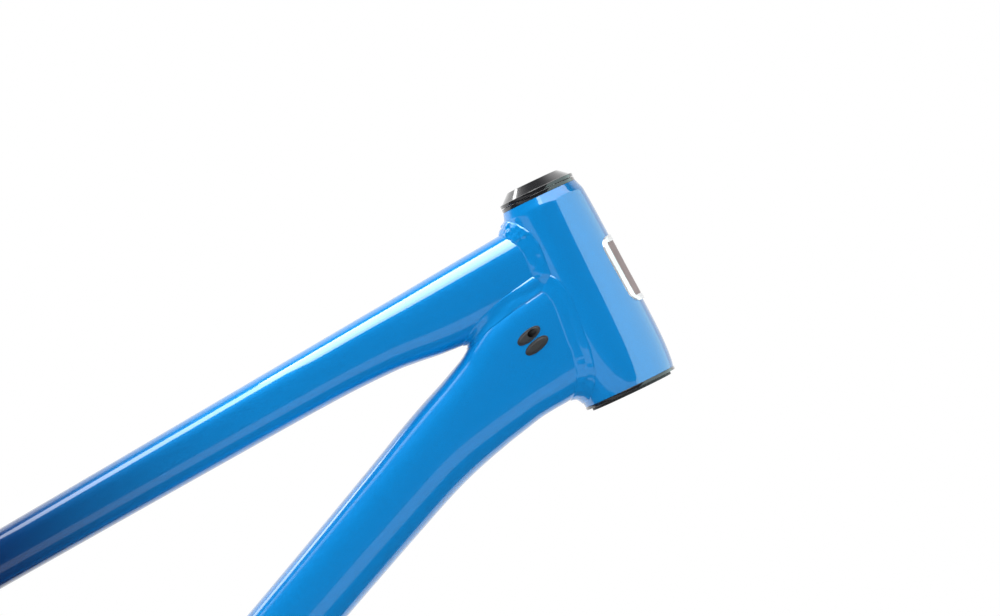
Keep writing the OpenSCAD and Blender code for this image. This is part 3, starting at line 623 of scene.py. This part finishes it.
def grain_group():
    """Fine speckle and slight unevenness, shared by the paint, the metals and the rubber."""
    g = bpy.data.node_groups.get("Fine Grain")
    if g:
        return g
    g = bpy.data.node_groups.new("Fine Grain", "ShaderNodeTree")
    g.interface.new_socket("Scale", in_out="INPUT", socket_type="NodeSocketFloat").default_value = 900
    for name in ("Speckle", "Unevenness"):
        g.interface.new_socket(name, in_out="OUTPUT", socket_type="NodeSocketFloat")
    enter, leave = g.nodes.new("NodeGroupInput"), g.nodes.new("NodeGroupOutput")
    place, fine, broad = fresh(g.nodes, "TexCoord", "TexNoise", "TexNoise")
    put(fine, {"Detail": 2})
    put(broad, {"Scale": 45, "Detail": 3})
    join(place.outputs["Object"], fine, "Vector")
    join(place.outputs["Object"], broad, "Vector")
    join(enter.outputs["Scale"], fine, "Scale")
    join(fine.outputs["Fac"], leave, "Speckle")
    join(broad.outputs["Fac"], leave, "Unevenness")
    return g


def add_grain(nodes, scale):
    node, = fresh(nodes, "Group")
    node.node_tree = grain_group()
    put(node, {"Scale": scale})
    return node.outputs


def spread(noise, low, high):
    """Maps a noise to a range."""
    return mapped(noise, NOISE_LOW, NOISE_HIGH, low, high)


def frame_paint():
    """Clear-coated metallic blue that fades to navy towards the back."""
    m = bpy.data.materials.get("Blue Fade Paint")
    if m:
        return m
    m, n, b = shader("Blue Fade Paint")
    c = colours()
    ramp, flake, tint = fresh(n, "ValToRGB", "CombineColor", "Mix")
    ramp.color_ramp.elements[0].color = (*c.navy, 1)
    ramp.color_ramp.elements[1].color = (*c.bright, 1)
    join(mapped(position(n)[1]["X"], c.fade_start, c.fade_end, kind="SMOOTHSTEP"), ramp, "Fac")
    grain = add_grain(n, 2600)
    join(spread(grain["Speckle"], 0.90, 1.10), flake, "Red", "Green", "Blue")
    tint.data_type, tint.blend_type = "RGBA", "MULTIPLY"
    put(tint, {"Factor": 1.0})
    join(ramp.outputs["Color"], tint, "A")
    join(flake.outputs["Color"], tint, "B")
    join(tint.outputs["Result"], b, "Base Color")
    join(spread(grain["Speckle"], 0.34, 0.42), b, "Roughness")
    put(b, {"Metallic": 0.24, "Specular IOR Level": 0.1, "Coat Weight": 1.0, "Coat Roughness": 0.03,
            "Coat IOR": 1.8})
    uneven_surface(grain["Unevenness"], b, 0.03, 0.0004)
    return m


def plain_finish(name, colour, metallic, rough, grain_scale, bump_strength=0.05, coat=0.0, vary=0.12):
    m = bpy.data.materials.get(name)
    if m:
        return m
    m, n, b = shader(name)
    grain = add_grain(n, grain_scale)
    ramp, = fresh(n, "ValToRGB")
    dark, light = ramp.color_ramp.elements
    dark.position, light.position = NOISE_LOW, NOISE_HIGH
    dark.color = (*[v * (1 - vary) for v in colour], 1)
    light.color = (*[min(1, v * (1 + vary)) for v in colour], 1)
    join(grain["Unevenness"], ramp, "Fac")
    join(ramp.outputs["Color"], b, "Base Color")
    join(spread(grain["Speckle"], rough * 0.85, rough * 1.15), b, "Roughness")
    put(b, {"Metallic": metallic, "Coat Weight": coat})
    uneven_surface(grain["Speckle"], b, bump_strength, 0.0003)
    return m


def black_anodised():
    return plain_finish("Black Anodised", colours().black, 0.2, 0.16, 1500, 0.02, coat=1.0)


def bearing_steel():
    return plain_finish("Bearing Steel", (0.62, 0.62, 0.64), 1.0, 0.16, 700, 0.02)


def fastener_steel():
    return plain_finish("Fastener Steel", (0.30, 0.30, 0.31), 1.0, 0.32, 900, 0.05)


def bare_aluminium():
    return plain_finish("Bare Aluminium", (0.72, 0.72, 0.73), 1.0, 0.30, 1100, 0.05)


def black_rubber():
    return plain_finish("Black Rubber", colours().rubber, 0.0, 0.55, 1300, 0.12, vary=0.2)


def badge_rim():
    return plain_finish("Badge Rim", (0.88, 0.88, 0.88), 0.55, 0.20, 500, 0.01)


def badge_panel():
    return plain_finish("Badge Panel", (0.33, 0.24, 0.235), 0.2, 0.60, 1600, 0.05)


FINISHES = {"frame_paint": frame_paint, "black_anodised": black_anodised, "bearing_steel": bearing_steel,
            "fastener_steel": fastener_steel, "bare_aluminium": bare_aluminium, "badge_metal": badge_rim,
            "black_rubber": black_rubber}


# ---------------- operators, one for each group of pieces
class BuildOperator:
    bl_options = {"REGISTER", "UNDO"}

    def execute(self, context):
        self.build(Layout(sizes()))
        return {"FINISHED"}


class BIKE_OT_studio(BuildOperator, bpy.types.Operator):
    """Sets the pale floor, the soft lights and the camera"""
    bl_idname = "bike.studio"
    bl_label = "Studio"

    def build(self, at):
        studio = bpy.context.scene.studio_sizes
        pick_none()
        # the floor lies half a millimetre below the frame's lowest point
        bpy.ops.mesh.primitive_plane_add(size=60, location=(0, 0, CAD_BOX[0].z - studio.floor_gap - 0.5 * MM))
        floor = bpy.context.active_object
        floor.name = "Studio_Floor"
        floor.data.materials.append(self.floor_finish())
        self.world()
        # overhead soft boxes: a bright one, a fainter one at its right, and two that reach over the back of the frame
        self.overhead("Top_Card", (-1.12, -0.45), (-2.9, 0.15), 10.5, by_y=(0.38, 1.0))
        self.overhead("Top_Card_Right", (-0.45, 2.4), (-2.9, 0.15), 2.6)
        self.overhead("Top_Card_Left", (-1.62, -1.12), (-1.75, -0.2), 6.5, by_x=(0.5, 1.0))
        self.overhead("Top_Card_Far", (-3.2, -1.75), (-1.1, 2.6), 9, by_x=(0.35, 1.0), by_y=(0.02, 1.0))
        # an upright panel at the right, whose near edge shows as a crisp line down the head tube
        near, far = Vector((1.42, -1.75, 1.25)), Vector((3.15, 2.6, 1.25))
        self.card("Side_Card", (near + far) / 2, (far - near).normalized(), Z, ((far - near).length, 2.5), 1.7,
                  tint=(0.84, 1.08, 1.05))
        self.lamp("Key", (-1.2, -1.2, 2.8), (41, 0, -53), (2.2, 1.6), 42)
        self.lamp("Fill", (0.9, -3.2, 1.6), (68, 0, 12), (2.4, 1.6), 13)
        self.lamp("Low_Fill", (0.4, -1.5, 0.06), (130, 0, 0), (2.0, 0.8), 15)
        self.lamp("Left_Light", (-1.55, 0.05, 2.1), (49.5, 0, -90), (1.2, 1.2), 66)
        cam = bpy.data.cameras.new("Camera")
        cam.lens, cam.sensor_width, cam.clip_end = studio.lens, 36, 100
        camera = bpy.data.objects.new("Camera", cam)
        bpy.context.scene.collection.objects.link(camera)
        camera.location = (CAMERA_X, -studio.distance, CAMERA_Z)
        camera.rotation_euler = (math.pi / 2, 0, 0)
        bpy.context.scene.camera = camera
        bpy.context.scene.view_settings.view_transform = "Standard"

    def floor_finish(self):
        m, n, b = shader("Studio Floor")
        n.remove(b)
        rays, matt, glow, tone, reach = fresh(n, "LightPath", "BsdfDiffuse", "Emission", "Mix", "VectorMath")
        in_gloss = rays.outputs["Is Glossy Ray"]
        tone.data_type = "RGBA"
        put(tone, {"A": (0.86, 0.86, 0.87, 1), "B": (0.03, 0.03, 0.035, 1)})
        join(in_gloss, tone, "Factor")
        join(tone.outputs["Result"], matt, "Color")
        # gloss sees the paper white behind the frame, and as a fainter lit strip in front of it
        place, parts = position(n)
        y = parts["Y"]
        strip = worked("MULTIPLY", worked("GREATER_THAN", y, -2.1), worked("LESS_THAN", y, -0.6))
        seen = worked("MAXIMUM", worked("MULTIPLY", strip, 0.45), worked("GREATER_THAN", y, 0.3))
        # the camera sees the shadow near the frame, and the plain white of the paper further off
        reach.operation = "LENGTH"
        join(place, reach, 0)
        far_off = mapped(reach.outputs["Value"], 1.0, 3.2, 0.55, 1.0, "SMOOTHSTEP")
        share = worked("MULTIPLY", rays.outputs["Is Camera Ray"], far_off)
        lit = worked("MULTIPLY_ADD", seen, in_gloss, share)
        join(mixed(lit, matt.outputs[0], glow.outputs[0]), n["Material Output"], "Surface")
        return m

    def world(self):
        w = bpy.data.worlds.new("Studio")
        w.use_nodes = True
        bpy.context.scene.world = w
        n = w.node_tree.nodes
        soft = n["Background"]
        white, glossy, rays = fresh(n, "Background", "Background", "LightPath")
        put(soft, {"Color": (0.80, 0.83, 0.87, 1), "Strength": 0.62})
        put(white, {"Color": (1, 1, 1, 1)})
        # gloss sees white behind the frame, as the camera does, and the dark room on the camera's side
        parts = position(n, "Generated")[1]
        join(mapped(parts["Y"], 0.25, 0.60, 0.022, 1.0, "SMOOTHSTEP"), glossy, "Color")
        room = mixed(rays.outputs["Is Glossy Ray"], soft.outputs[0], glossy.outputs[0])
        seen = mixed(rays.outputs["Is Camera Ray"], room, white.outputs[0])
        join(seen, n["World Output"], "Surface")

    def overhead(self, name, x, y, strength, **ends):
        middle = Vector(((x[0] + x[1]) / 2, (y[0] + y[1]) / 2, CARD_HEIGHT))
        self.card(name, middle, X, Y, (x[1] - x[0], y[1] - y[0]), strength, **ends)

    def card(self, name, middle, right, up, size, strength, by_x=(1, 1), by_y=(1, 1), tint=(1, 1, 1)):
        """A lit panel that only gloss sees, with its own x and y axes given. Its strength changes along both."""
        pick_none()
        bpy.ops.mesh.primitive_plane_add(size=1)
        panel = bpy.context.active_object
        panel.name = name
        turn = Matrix((right, up, right.cross(up))).transposed().to_4x4()
        panel.matrix_world = Matrix.Translation(middle) @ turn @ Matrix.Diagonal((*size, 1, 1))
        m, n, b = shader(name)
        n.remove(b)
        glow, = fresh(n, "Emission")
        parts = position(n)[1]
        put(glow, {"Color": (*tint, 1)})
        level_x = mapped(parts["X"], -0.5, 0.5, by_x[0] * strength, by_x[1] * strength)
        level_y = mapped(parts["Y"], -0.5, 0.5, *by_y)
        join(worked("MULTIPLY", level_x, level_y), glow, "Strength")
        join(glow.outputs[0], n["Material Output"], "Surface")
        panel.data.materials.append(m)
        panel.visible_camera = panel.visible_diffuse = panel.visible_shadow = False

    def lamp(self, name, place, turn, size, power_w):
        data = bpy.data.lights.new(name, "AREA")
        data.shape, data.size, data.size_y, data.energy = "RECTANGLE", size[0], size[1], power_w
        lamp = bpy.data.objects.new(name, data)
        bpy.context.scene.collection.objects.link(lamp)
        lamp.location, lamp.rotation_euler = place, [math.radians(a) for a in turn]
        lamp.visible_glossy = False


class BIKE_OT_head_tube(BuildOperator, bpy.types.Operator):
    """Turns the tapered head tube with its two cup seats"""
    bl_idname = "bike.head_tube"
    bl_label = "Head Tube"

    def build(self, at):
        length = at.head_length / MM
        outside = [(at.head_radius(z * MM) / MM, z) for z in
                   [0.0, 1, 2, 3, 4, 6, 8, 10, 12, 15, 18, 21] + [21 + (length - 31) * i / 24 for i in range(1, 24)]
                   + [length - k for k in (10, 8.5, 7, 6, 5, 4, 3, 2, 1, 0)]]
        inside = [(22, length), (22, length - 11), (19.02, length - 11), (23.97, 11), (28, 11), (28, 0)]
        painted(turned("Head_Tube", outside + inside, at.head_low, at.steer_up, 192), "head_tube")


def port_places(at):
    """Each cable port's middle, outward normal and long way, by its side and its place in the pair."""
    spot = at.down_front - at.front_way * 0.052 + Z * 0.0193 - X * 0.001
    lean = math.radians(40)
    found = {}
    for side in (-1, 1):
        for k in (0, 1):
            p = spot + Vector((math.sin(lean), 0, -math.cos(lean))) * (0.008 * k)
            p = onto(at.down_tube.distance, Vector((p.x, side * (0.0266, 0.0268)[k], p.z)))
            n = slope_of(at.down_tube.distance, p)
            way = along(lean)
            way = (way - n * way.dot(n)).normalized()
            found[side, k] = (p, n, way)
    return found


def oval_ring(length, width, count=64):
    """Points round an oval a little fuller than an ellipse."""
    points = []
    for i in range(count):
        t = 2 * math.pi * i / count
        points.append((power(math.cos(t), 2.15) * length / 2, power(math.sin(t), 2.15) * width / 2))
    return points


def port_cutter(place, length, width):
    p, n, way = place
    across = n.cross(way)
    bm = bmesh.new()
    rings = [[bm.verts.new(p + way * u + across * v + n * h) for u, v in oval_ring(length, width, 48)]
             for h in (-0.014, 0.012)]
    skin(bm, rings)
    bm.faces.new(rings[0])
    bm.faces.new(list(reversed(rings[1])))
    return new_piece("Cutter", bm)


def cut(piece, cutter):
    pick(piece)
    m = piece.modifiers.new("hole", "BOOLEAN")
    m.operation, m.solver, m.object = "DIFFERENCE", "EXACT", cutter
    bpy.ops.object.modifier_apply(modifier=m.name)
    bpy.data.objects.remove(cutter)


class BIKE_OT_front_tubes(BuildOperator, bpy.types.Operator):
    """Draws the top tube and the bent down tube, and cuts the cable ports"""
    bl_idname = "bike.front_tubes"
    bl_label = "Top and Down Tubes"

    def build(self, at):
        wall = sizes().tube_wall
        painted(tube_piece("Top_Tube", at.top_tube, wall, 128, 0.012, at.top_tube.length - 0.002), "top_tube")
        down = tube_piece("Down_Tube", at.down_tube, wall, 128, 0.014, at.down_tube.length - 0.010)
        for place in port_places(at).values():
            cut(down, port_cutter(place, sizes().port_length - 0.0012, sizes().port_width - 0.0012))
        smooth(down, 50)
        painted(down, "down_tube")


class BIKE_OT_rear_tubes(BuildOperator, bpy.types.Operator):
    """Draws the stays, their bridges and the strut at the seat tube"""
    bl_idname = "bike.rear_tubes"
    bl_label = "Stays and Bridges"

    def build(self, at):
        for kind in ("chainstay", "seatstay"):
            for side, word in ((-1, "right"), (1, "left")):
                title = f"{kind.title()}_{word.title()}"
                painted(tube_piece(title, at.stay(kind, side), STAY_WALL, 72, every=0.005), f"{kind}_{word}")
            painted(tube_piece(f"{kind.title()}_Bridge", at.bridge(kind), STAY_WALL, 64), f"{kind}_bridge")
        painted(tube_piece("Seat_Tube_Strut", at.gusset, STAY_WALL, 64), "seat_tube_gusset")


class BIKE_OT_welds(BuildOperator, bpy.types.Operator):
    """Lays a smoothed weld round every joint between tubes"""
    bl_idname = "bike.welds"
    bl_label = "Welds"

    def build(self, at):
        wide = sizes().weld_width
        head, down, top = at.head_distance, at.down_tube.distance, at.top_tube.distance
        seat = cylinder_distance(Vector(), at.seat_up, at.seat_r)
        shell = cylinder_distance(Vector(), Y, at.shell_r)

        def lay(name, tube, target, reach, width, far=False, **how):
            """A weld at the tube's near or far end. The search for the joint starts this far from that end."""
            start, end = (tube.length - reach, tube.length) if far else (reach, 0.0)
            painted(weld_piece(name, tube, target, start, end, width, **how))

        lay("Weld_Head_Down", at.down_tube, head, 0.13, wide, samples=360, seed=1.3, proud=0.0005, lumps=(215, 325))
        lay("Weld_Head_Top", at.top_tube, either(head, down), 0.16, wide, samples=360, seed=2.1, proud=0.0005,
            lumps=(90, 68, 112, 46, 134, 195, 345), lump_size=2.0)
        lay("Weld_Top_Seat", at.top_tube, seat, 0.06, 0.0045, far=True, seed=0.4)
        lay("Weld_Down_Shell", at.down_tube, either(shell, seat), 0.09, 0.005, far=True, seed=3.3)
        lay("Weld_Seat_Shell", at.seat_tube, shell, 0.06, 0.0045, samples=140, seed=0.9)
        lay("Weld_Strut_Top", at.gusset, top, 0.035, 0.003, samples=100, lift=0.0005, seed=0.2)
        lay("Weld_Strut_Seat", at.gusset, seat, 0.035, 0.003, far=True, samples=100, lift=0.0005, seed=0.7)
        for side, word in ((-1, "Right"), (1, "Left")):
            chain, seatstay = at.stay("chainstay", side), at.stay("seatstay", side)
            lay(f"Weld_Chainstay_{word}", chain, shell, 0.05, 0.004, samples=110, lift=0.0006, seed=1.1)
            lay(f"Weld_Seatstay_{word}", seatstay, seat, 0.045, 0.0035, samples=110, lift=0.0005, seed=1.9)
            for kind, tube, (x, z, radius) in (("Chainstay", chain, (36, -7, 9.5)),
                                               ("Seatstay", seatstay, (21, 29, 8.5))):
                end = cylinder_distance(at.rear_axle + Vector((x, 0, z)) * MM, Y, radius * MM)
                lay(f"Weld_{kind}_End_{word}", tube, end, 0.04, 0.0026, far=True, samples=100, lift=0.0004, seed=2.6)
            for kind, tube in (("chainstay", chain), ("seatstay", seatstay)):
                bridge = at.bridge(kind)
                lay(f"Weld_{kind.title()}_Bridge_{word}", bridge, tube.distance, bridge.length / 2, 0.0024,
                    far=side > 0, samples=90, lift=0.0004, seed=0.5)


class BIKE_OT_badge(BuildOperator, bpy.types.Operator):
    """Forms the bare head badge: a polished rim round a satin panel"""
    bl_idname = "bike.badge"
    bl_label = "Head Badge"
    middle = 0.070      # up from the head tube's lower end

    def build(self, at):
        f = sizes()
        # how far in from the edge, and how high above the head tube, in millimetres
        steps = [(0.4, -0.3), (0.0, -0.1), (0.0, 0.75), (0.12, 1.0), (0.4, 1.12), (3.2, 1.12), (3.6, 1.02),
                 (3.85, 0.78), (4.1, 0.70), (4.8, 0.70), (7, 0.72), (9.5, 0.73), (12, 0.74), (15, 0.74), (18, 0.74)]
        corner, tightening, sharpest = 0.0078, 1.7, 0.0008      # the corners tighten as the rings step inward
        round_steps, side_steps, panel_step = 9, 8, 8
        bm = bmesh.new()
        rings = []
        for inset, height in steps:
            inset *= MM
            a, b = f.badge_width / 2 - inset, f.badge_length / 2 - inset
            r = min(max(corner - tightening * inset, sharpest), min(a, b))
            ring = []
            for q in range(4):
                cx, cy = (a - r) * (1, -1, -1, 1)[q], (b - r) * (1, 1, -1, -1)[q]
                nx, ny = (a - r) * (-1, -1, 1, 1)[q], (b - r) * (1, -1, -1, 1)[q]
                for i in range(round_steps + 1):
                    t = math.radians(90 * q + 90 * i / round_steps)
                    ring.append((cx + r * math.cos(t), cy + r * math.sin(t)))
                for i in range(1, side_steps):
                    u = i / side_steps
                    t = math.radians(90 * q + 90)
                    ex, ey = cx + r * math.cos(t), cy + r * math.sin(t)
                    fx, fy = nx + r * math.cos(t), ny + r * math.sin(t)
                    ring.append((ex + (fx - ex) * u, ey + (fy - ey) * u))
            rings.append([bm.verts.new(self.on_tube(at, u, v, height * MM)) for u, v in ring])
        n = len(rings[0])
        skin(bm, rings)
        bm.faces.new(rings[-1])
        bm.faces.new(rings[0])
        piece = new_piece("Head_Badge", bm)
        smooth(piece, 45)
        hand_over(piece, "frame", "badge_metal", "head_badge")
        piece.data.materials.append(badge_panel())
        # the faces follow the steps from the edge inward; the panel starts inside the rim's inner slope, and its
        # last face closes the middle
        first, last = panel_step * n, (len(steps) - 1) * n
        for face in piece.data.polygons:
            face.material_index = 1 if first <= face.index <= last else 0

    def on_tube(self, at, across, up, height):
        z = self.middle + up
        r = at.head_radius(z) + height
        axis = at.head_low + at.steer_up * z
        return axis + Y * across + at.steer_front * math.sqrt(max(r * r - across * across, 0))


class BIKE_OT_ports(BuildOperator, bpy.types.Operator):
    """Fits the rubber grommets and the rubber plug to the cable ports"""
    bl_idname = "bike.ports"
    bl_label = "Port Rubbers"

    def build(self, at):
        places = port_places(at)
        plug = [(1.2, -5), (1.2, -0.2), (0.0, -0.3), (0.0, 0.25), (0.12, 0.5), (0.4, 0.68), (0.8, 0.72),
                (0.95, 0.66), (1.1, 0.78), (1.35, 1.02), (1.8, 1.18), (2.4, 1.25), (3.0, 1.28)]
        body = self.oval("Port_Plug", at, places[-1, 1], plug)
        hand_over(body, "frame", "black_rubber", "port_plug")
        for index, key in enumerate(((-1, 0), (1, 0), (1, 1))):
            ring = self.oval(f"Port_Grommet_{index + 1}", at, places[key], plug)
            cut(ring, self.hose_drill(*places[key]))
            smooth(ring, 50)
            hand_over(ring, "frame", "black_rubber", *(["cable_grommets"] if index == 0 else []))

    def hose_drill(self, p, n, way):
        """A slanted round cutter the size of a brake hose."""
        lean = math.radians(50)
        axis = (n * math.cos(lean) + way * math.sin(lean)).normalized()
        pick_none()
        bpy.ops.mesh.primitive_cylinder_add(vertices=48, radius=0.0023, depth=0.05)
        drill = bpy.context.active_object
        drill.data.transform(Matrix.Translation(p + way * 0.0015) @ Z.rotation_difference(axis).to_matrix().to_4x4())
        return drill

    def oval(self, name, at, place, steps):
        f = sizes()
        p, n, way = place
        across = n.cross(way)
        bm = bmesh.new()
        rings = []
        for inset, height in steps:
            ring = []
            for u, v in oval_ring(f.port_length + 0.0011 - 2 * inset * MM, f.port_width + 0.0004 - 2 * inset * MM):
                q = p + way * u + across * v
                if height > -1:
                    q = onto(at.down_tube.distance, q)
                    q += slope_of(at.down_tube.distance, q) * (height * MM)
                else:
                    q += n * (height * MM)
                ring.append(bm.verts.new(q))
            rings.append(ring)
        skin(bm, rings)
        bm.faces.new(rings[0])
        bm.faces.new(rings[-1])
        piece = new_piece(name, bm)
        smooth(piece, 50)
        return piece


class BIKE_OT_headset(BuildOperator, bpy.types.Operator):
    """Turns the two headset cups and the tapered upper cover"""
    bl_idname = "bike.headset"
    bl_label = "Headset"

    def build(self, at):
        top = at.head_length / MM
        z = top + 2.7
        for name, body, bevel, profile in (
                ("Upper_Cup", "frame", 0.3,
                 [(25.3, top + .05), (25.3, top + 2.4), (20.9, top + 2.4), (20.9, top - 6), (18.5, top - 6),
                  (18.5, top - 10.5), (21.99, top - 10.5), (21.99, top + .05)]),
                ("Upper_Cover", "upper_turning", 0.35,
                 [(25.3, z), (25.3, z + 2.3), (24.0, z + 2.3), (17.5, z + 7.9), (14.6, z + 7.9), (14.6, z + 1.2),
                  (17.25, z + 1.2), (17.25, z), (19.25, z), (19.25, z + 1.4), (23.3, z + 1.4), (23.3, z)]),
                ("Lower_Cup", "frame", 0.3,
                 [(31.2, -.05), (31.2, -2), (26, -2), (26, 5.4), (23.6, 5.4), (23.6, 10.5), (27.99, 10.5),
                  (27.99, -.05)])):
            ring = turned(name, profile, at.head_low, at.steer_up, 160, bevel)
            hand_over(ring, body, "black_anodised", name.lower())


class BIKE_OT_machined_parts(BuildOperator, bpy.types.Operator):
    """Rounds the edges of the dropouts, the hanger, the collar and the other machined parts"""
    bl_idname = "bike.machined_parts"
    bl_label = "Machined Parts"

    def build(self, at):
        paint, black, steel, rubber = "frame_paint", "black_anodised", "fastener_steel", "black_rubber"
        for node, width, slot in (
                ("dropout_right", 1.2, paint), ("dropout_left", 1.2, paint), ("brake_mount", 0.8, paint),
                ("bottom_bracket_shell", 0.5, paint), ("seat_tube", 0.4, paint),
                ("derailleur_hanger", 0.5, black), ("seat_collar", 0.45, black), ("thru_axle", 0.4, black),
                ("seat_collar_bolt", 0.3, steel), ("axle_washer", 0.2, steel), ("hanger_screws", 0.2, steel),
                ("guide_screws", 0.3, steel), ("hose_guides", 0.7, rubber)):
            piece = softened(node.title(), node, width)
            body = "axle" if node == "thru_axle" else "axle_slider" if node == "axle_washer" else "frame"
            hand_over(piece, body, slot, node)


class BIKE_OT_finishes(BuildOperator, bpy.types.Operator):
    """Gives every part that keeps its plain shape its own finish"""
    bl_idname = "bike.finishes"
    bl_label = "Other Finishes"

    def build(self, at):
        for entry in frame["record"]["subparts"]:
            node = NODES[entry["node"]]
            if node.hide_render:
                continue
            finish = FINISHES[entry["material_slot"]]()
            for slot in node.material_slots:
                slot.material = finish


OPERATORS = (BIKE_OT_studio, BIKE_OT_head_tube, BIKE_OT_front_tubes, BIKE_OT_rear_tubes, BIKE_OT_welds,
             BIKE_OT_badge, BIKE_OT_ports, BIKE_OT_headset, BIKE_OT_machined_parts, BIKE_OT_finishes)


class BIKE_PT_panel(bpy.types.Panel):
    bl_label = "Bicycle Frame"
    bl_idname = "BIKE_PT_panel"
    bl_space_type = "VIEW_3D"
    bl_region_type = "UI"
    bl_category = "Bicycle Frame"

    def draw(self, context):
        for group in (context.scene.frame_sizes, context.scene.frame_colours, context.scene.studio_sizes):
            box = self.layout.box()
            for name in group.__annotations__:
                box.prop(group, name)
        for operator in OPERATORS:
            self.layout.operator(operator.bl_idname)


CLASSES = (FrameSizes, FrameColours, StudioSizes, *OPERATORS, BIKE_PT_panel)


def register():
    for c in CLASSES:
        bpy.utils.register_class(c)
    bpy.types.Scene.frame_sizes = PointerProperty(type=FrameSizes)
    bpy.types.Scene.frame_colours = PointerProperty(type=FrameColours)
    bpy.types.Scene.studio_sizes = PointerProperty(type=StudioSizes)


def unregister():
    del bpy.types.Scene.studio_sizes
    del bpy.types.Scene.frame_colours
    del bpy.types.Scene.frame_sizes
    for c in reversed(CLASSES):
        bpy.utils.unregister_class(c)


def main():
    register()
    for operator in OPERATORS:
        group, name = operator.bl_idname.split(".")
        getattr(getattr(bpy.ops, group), name)()


if __name__ == "__main__":
    main()
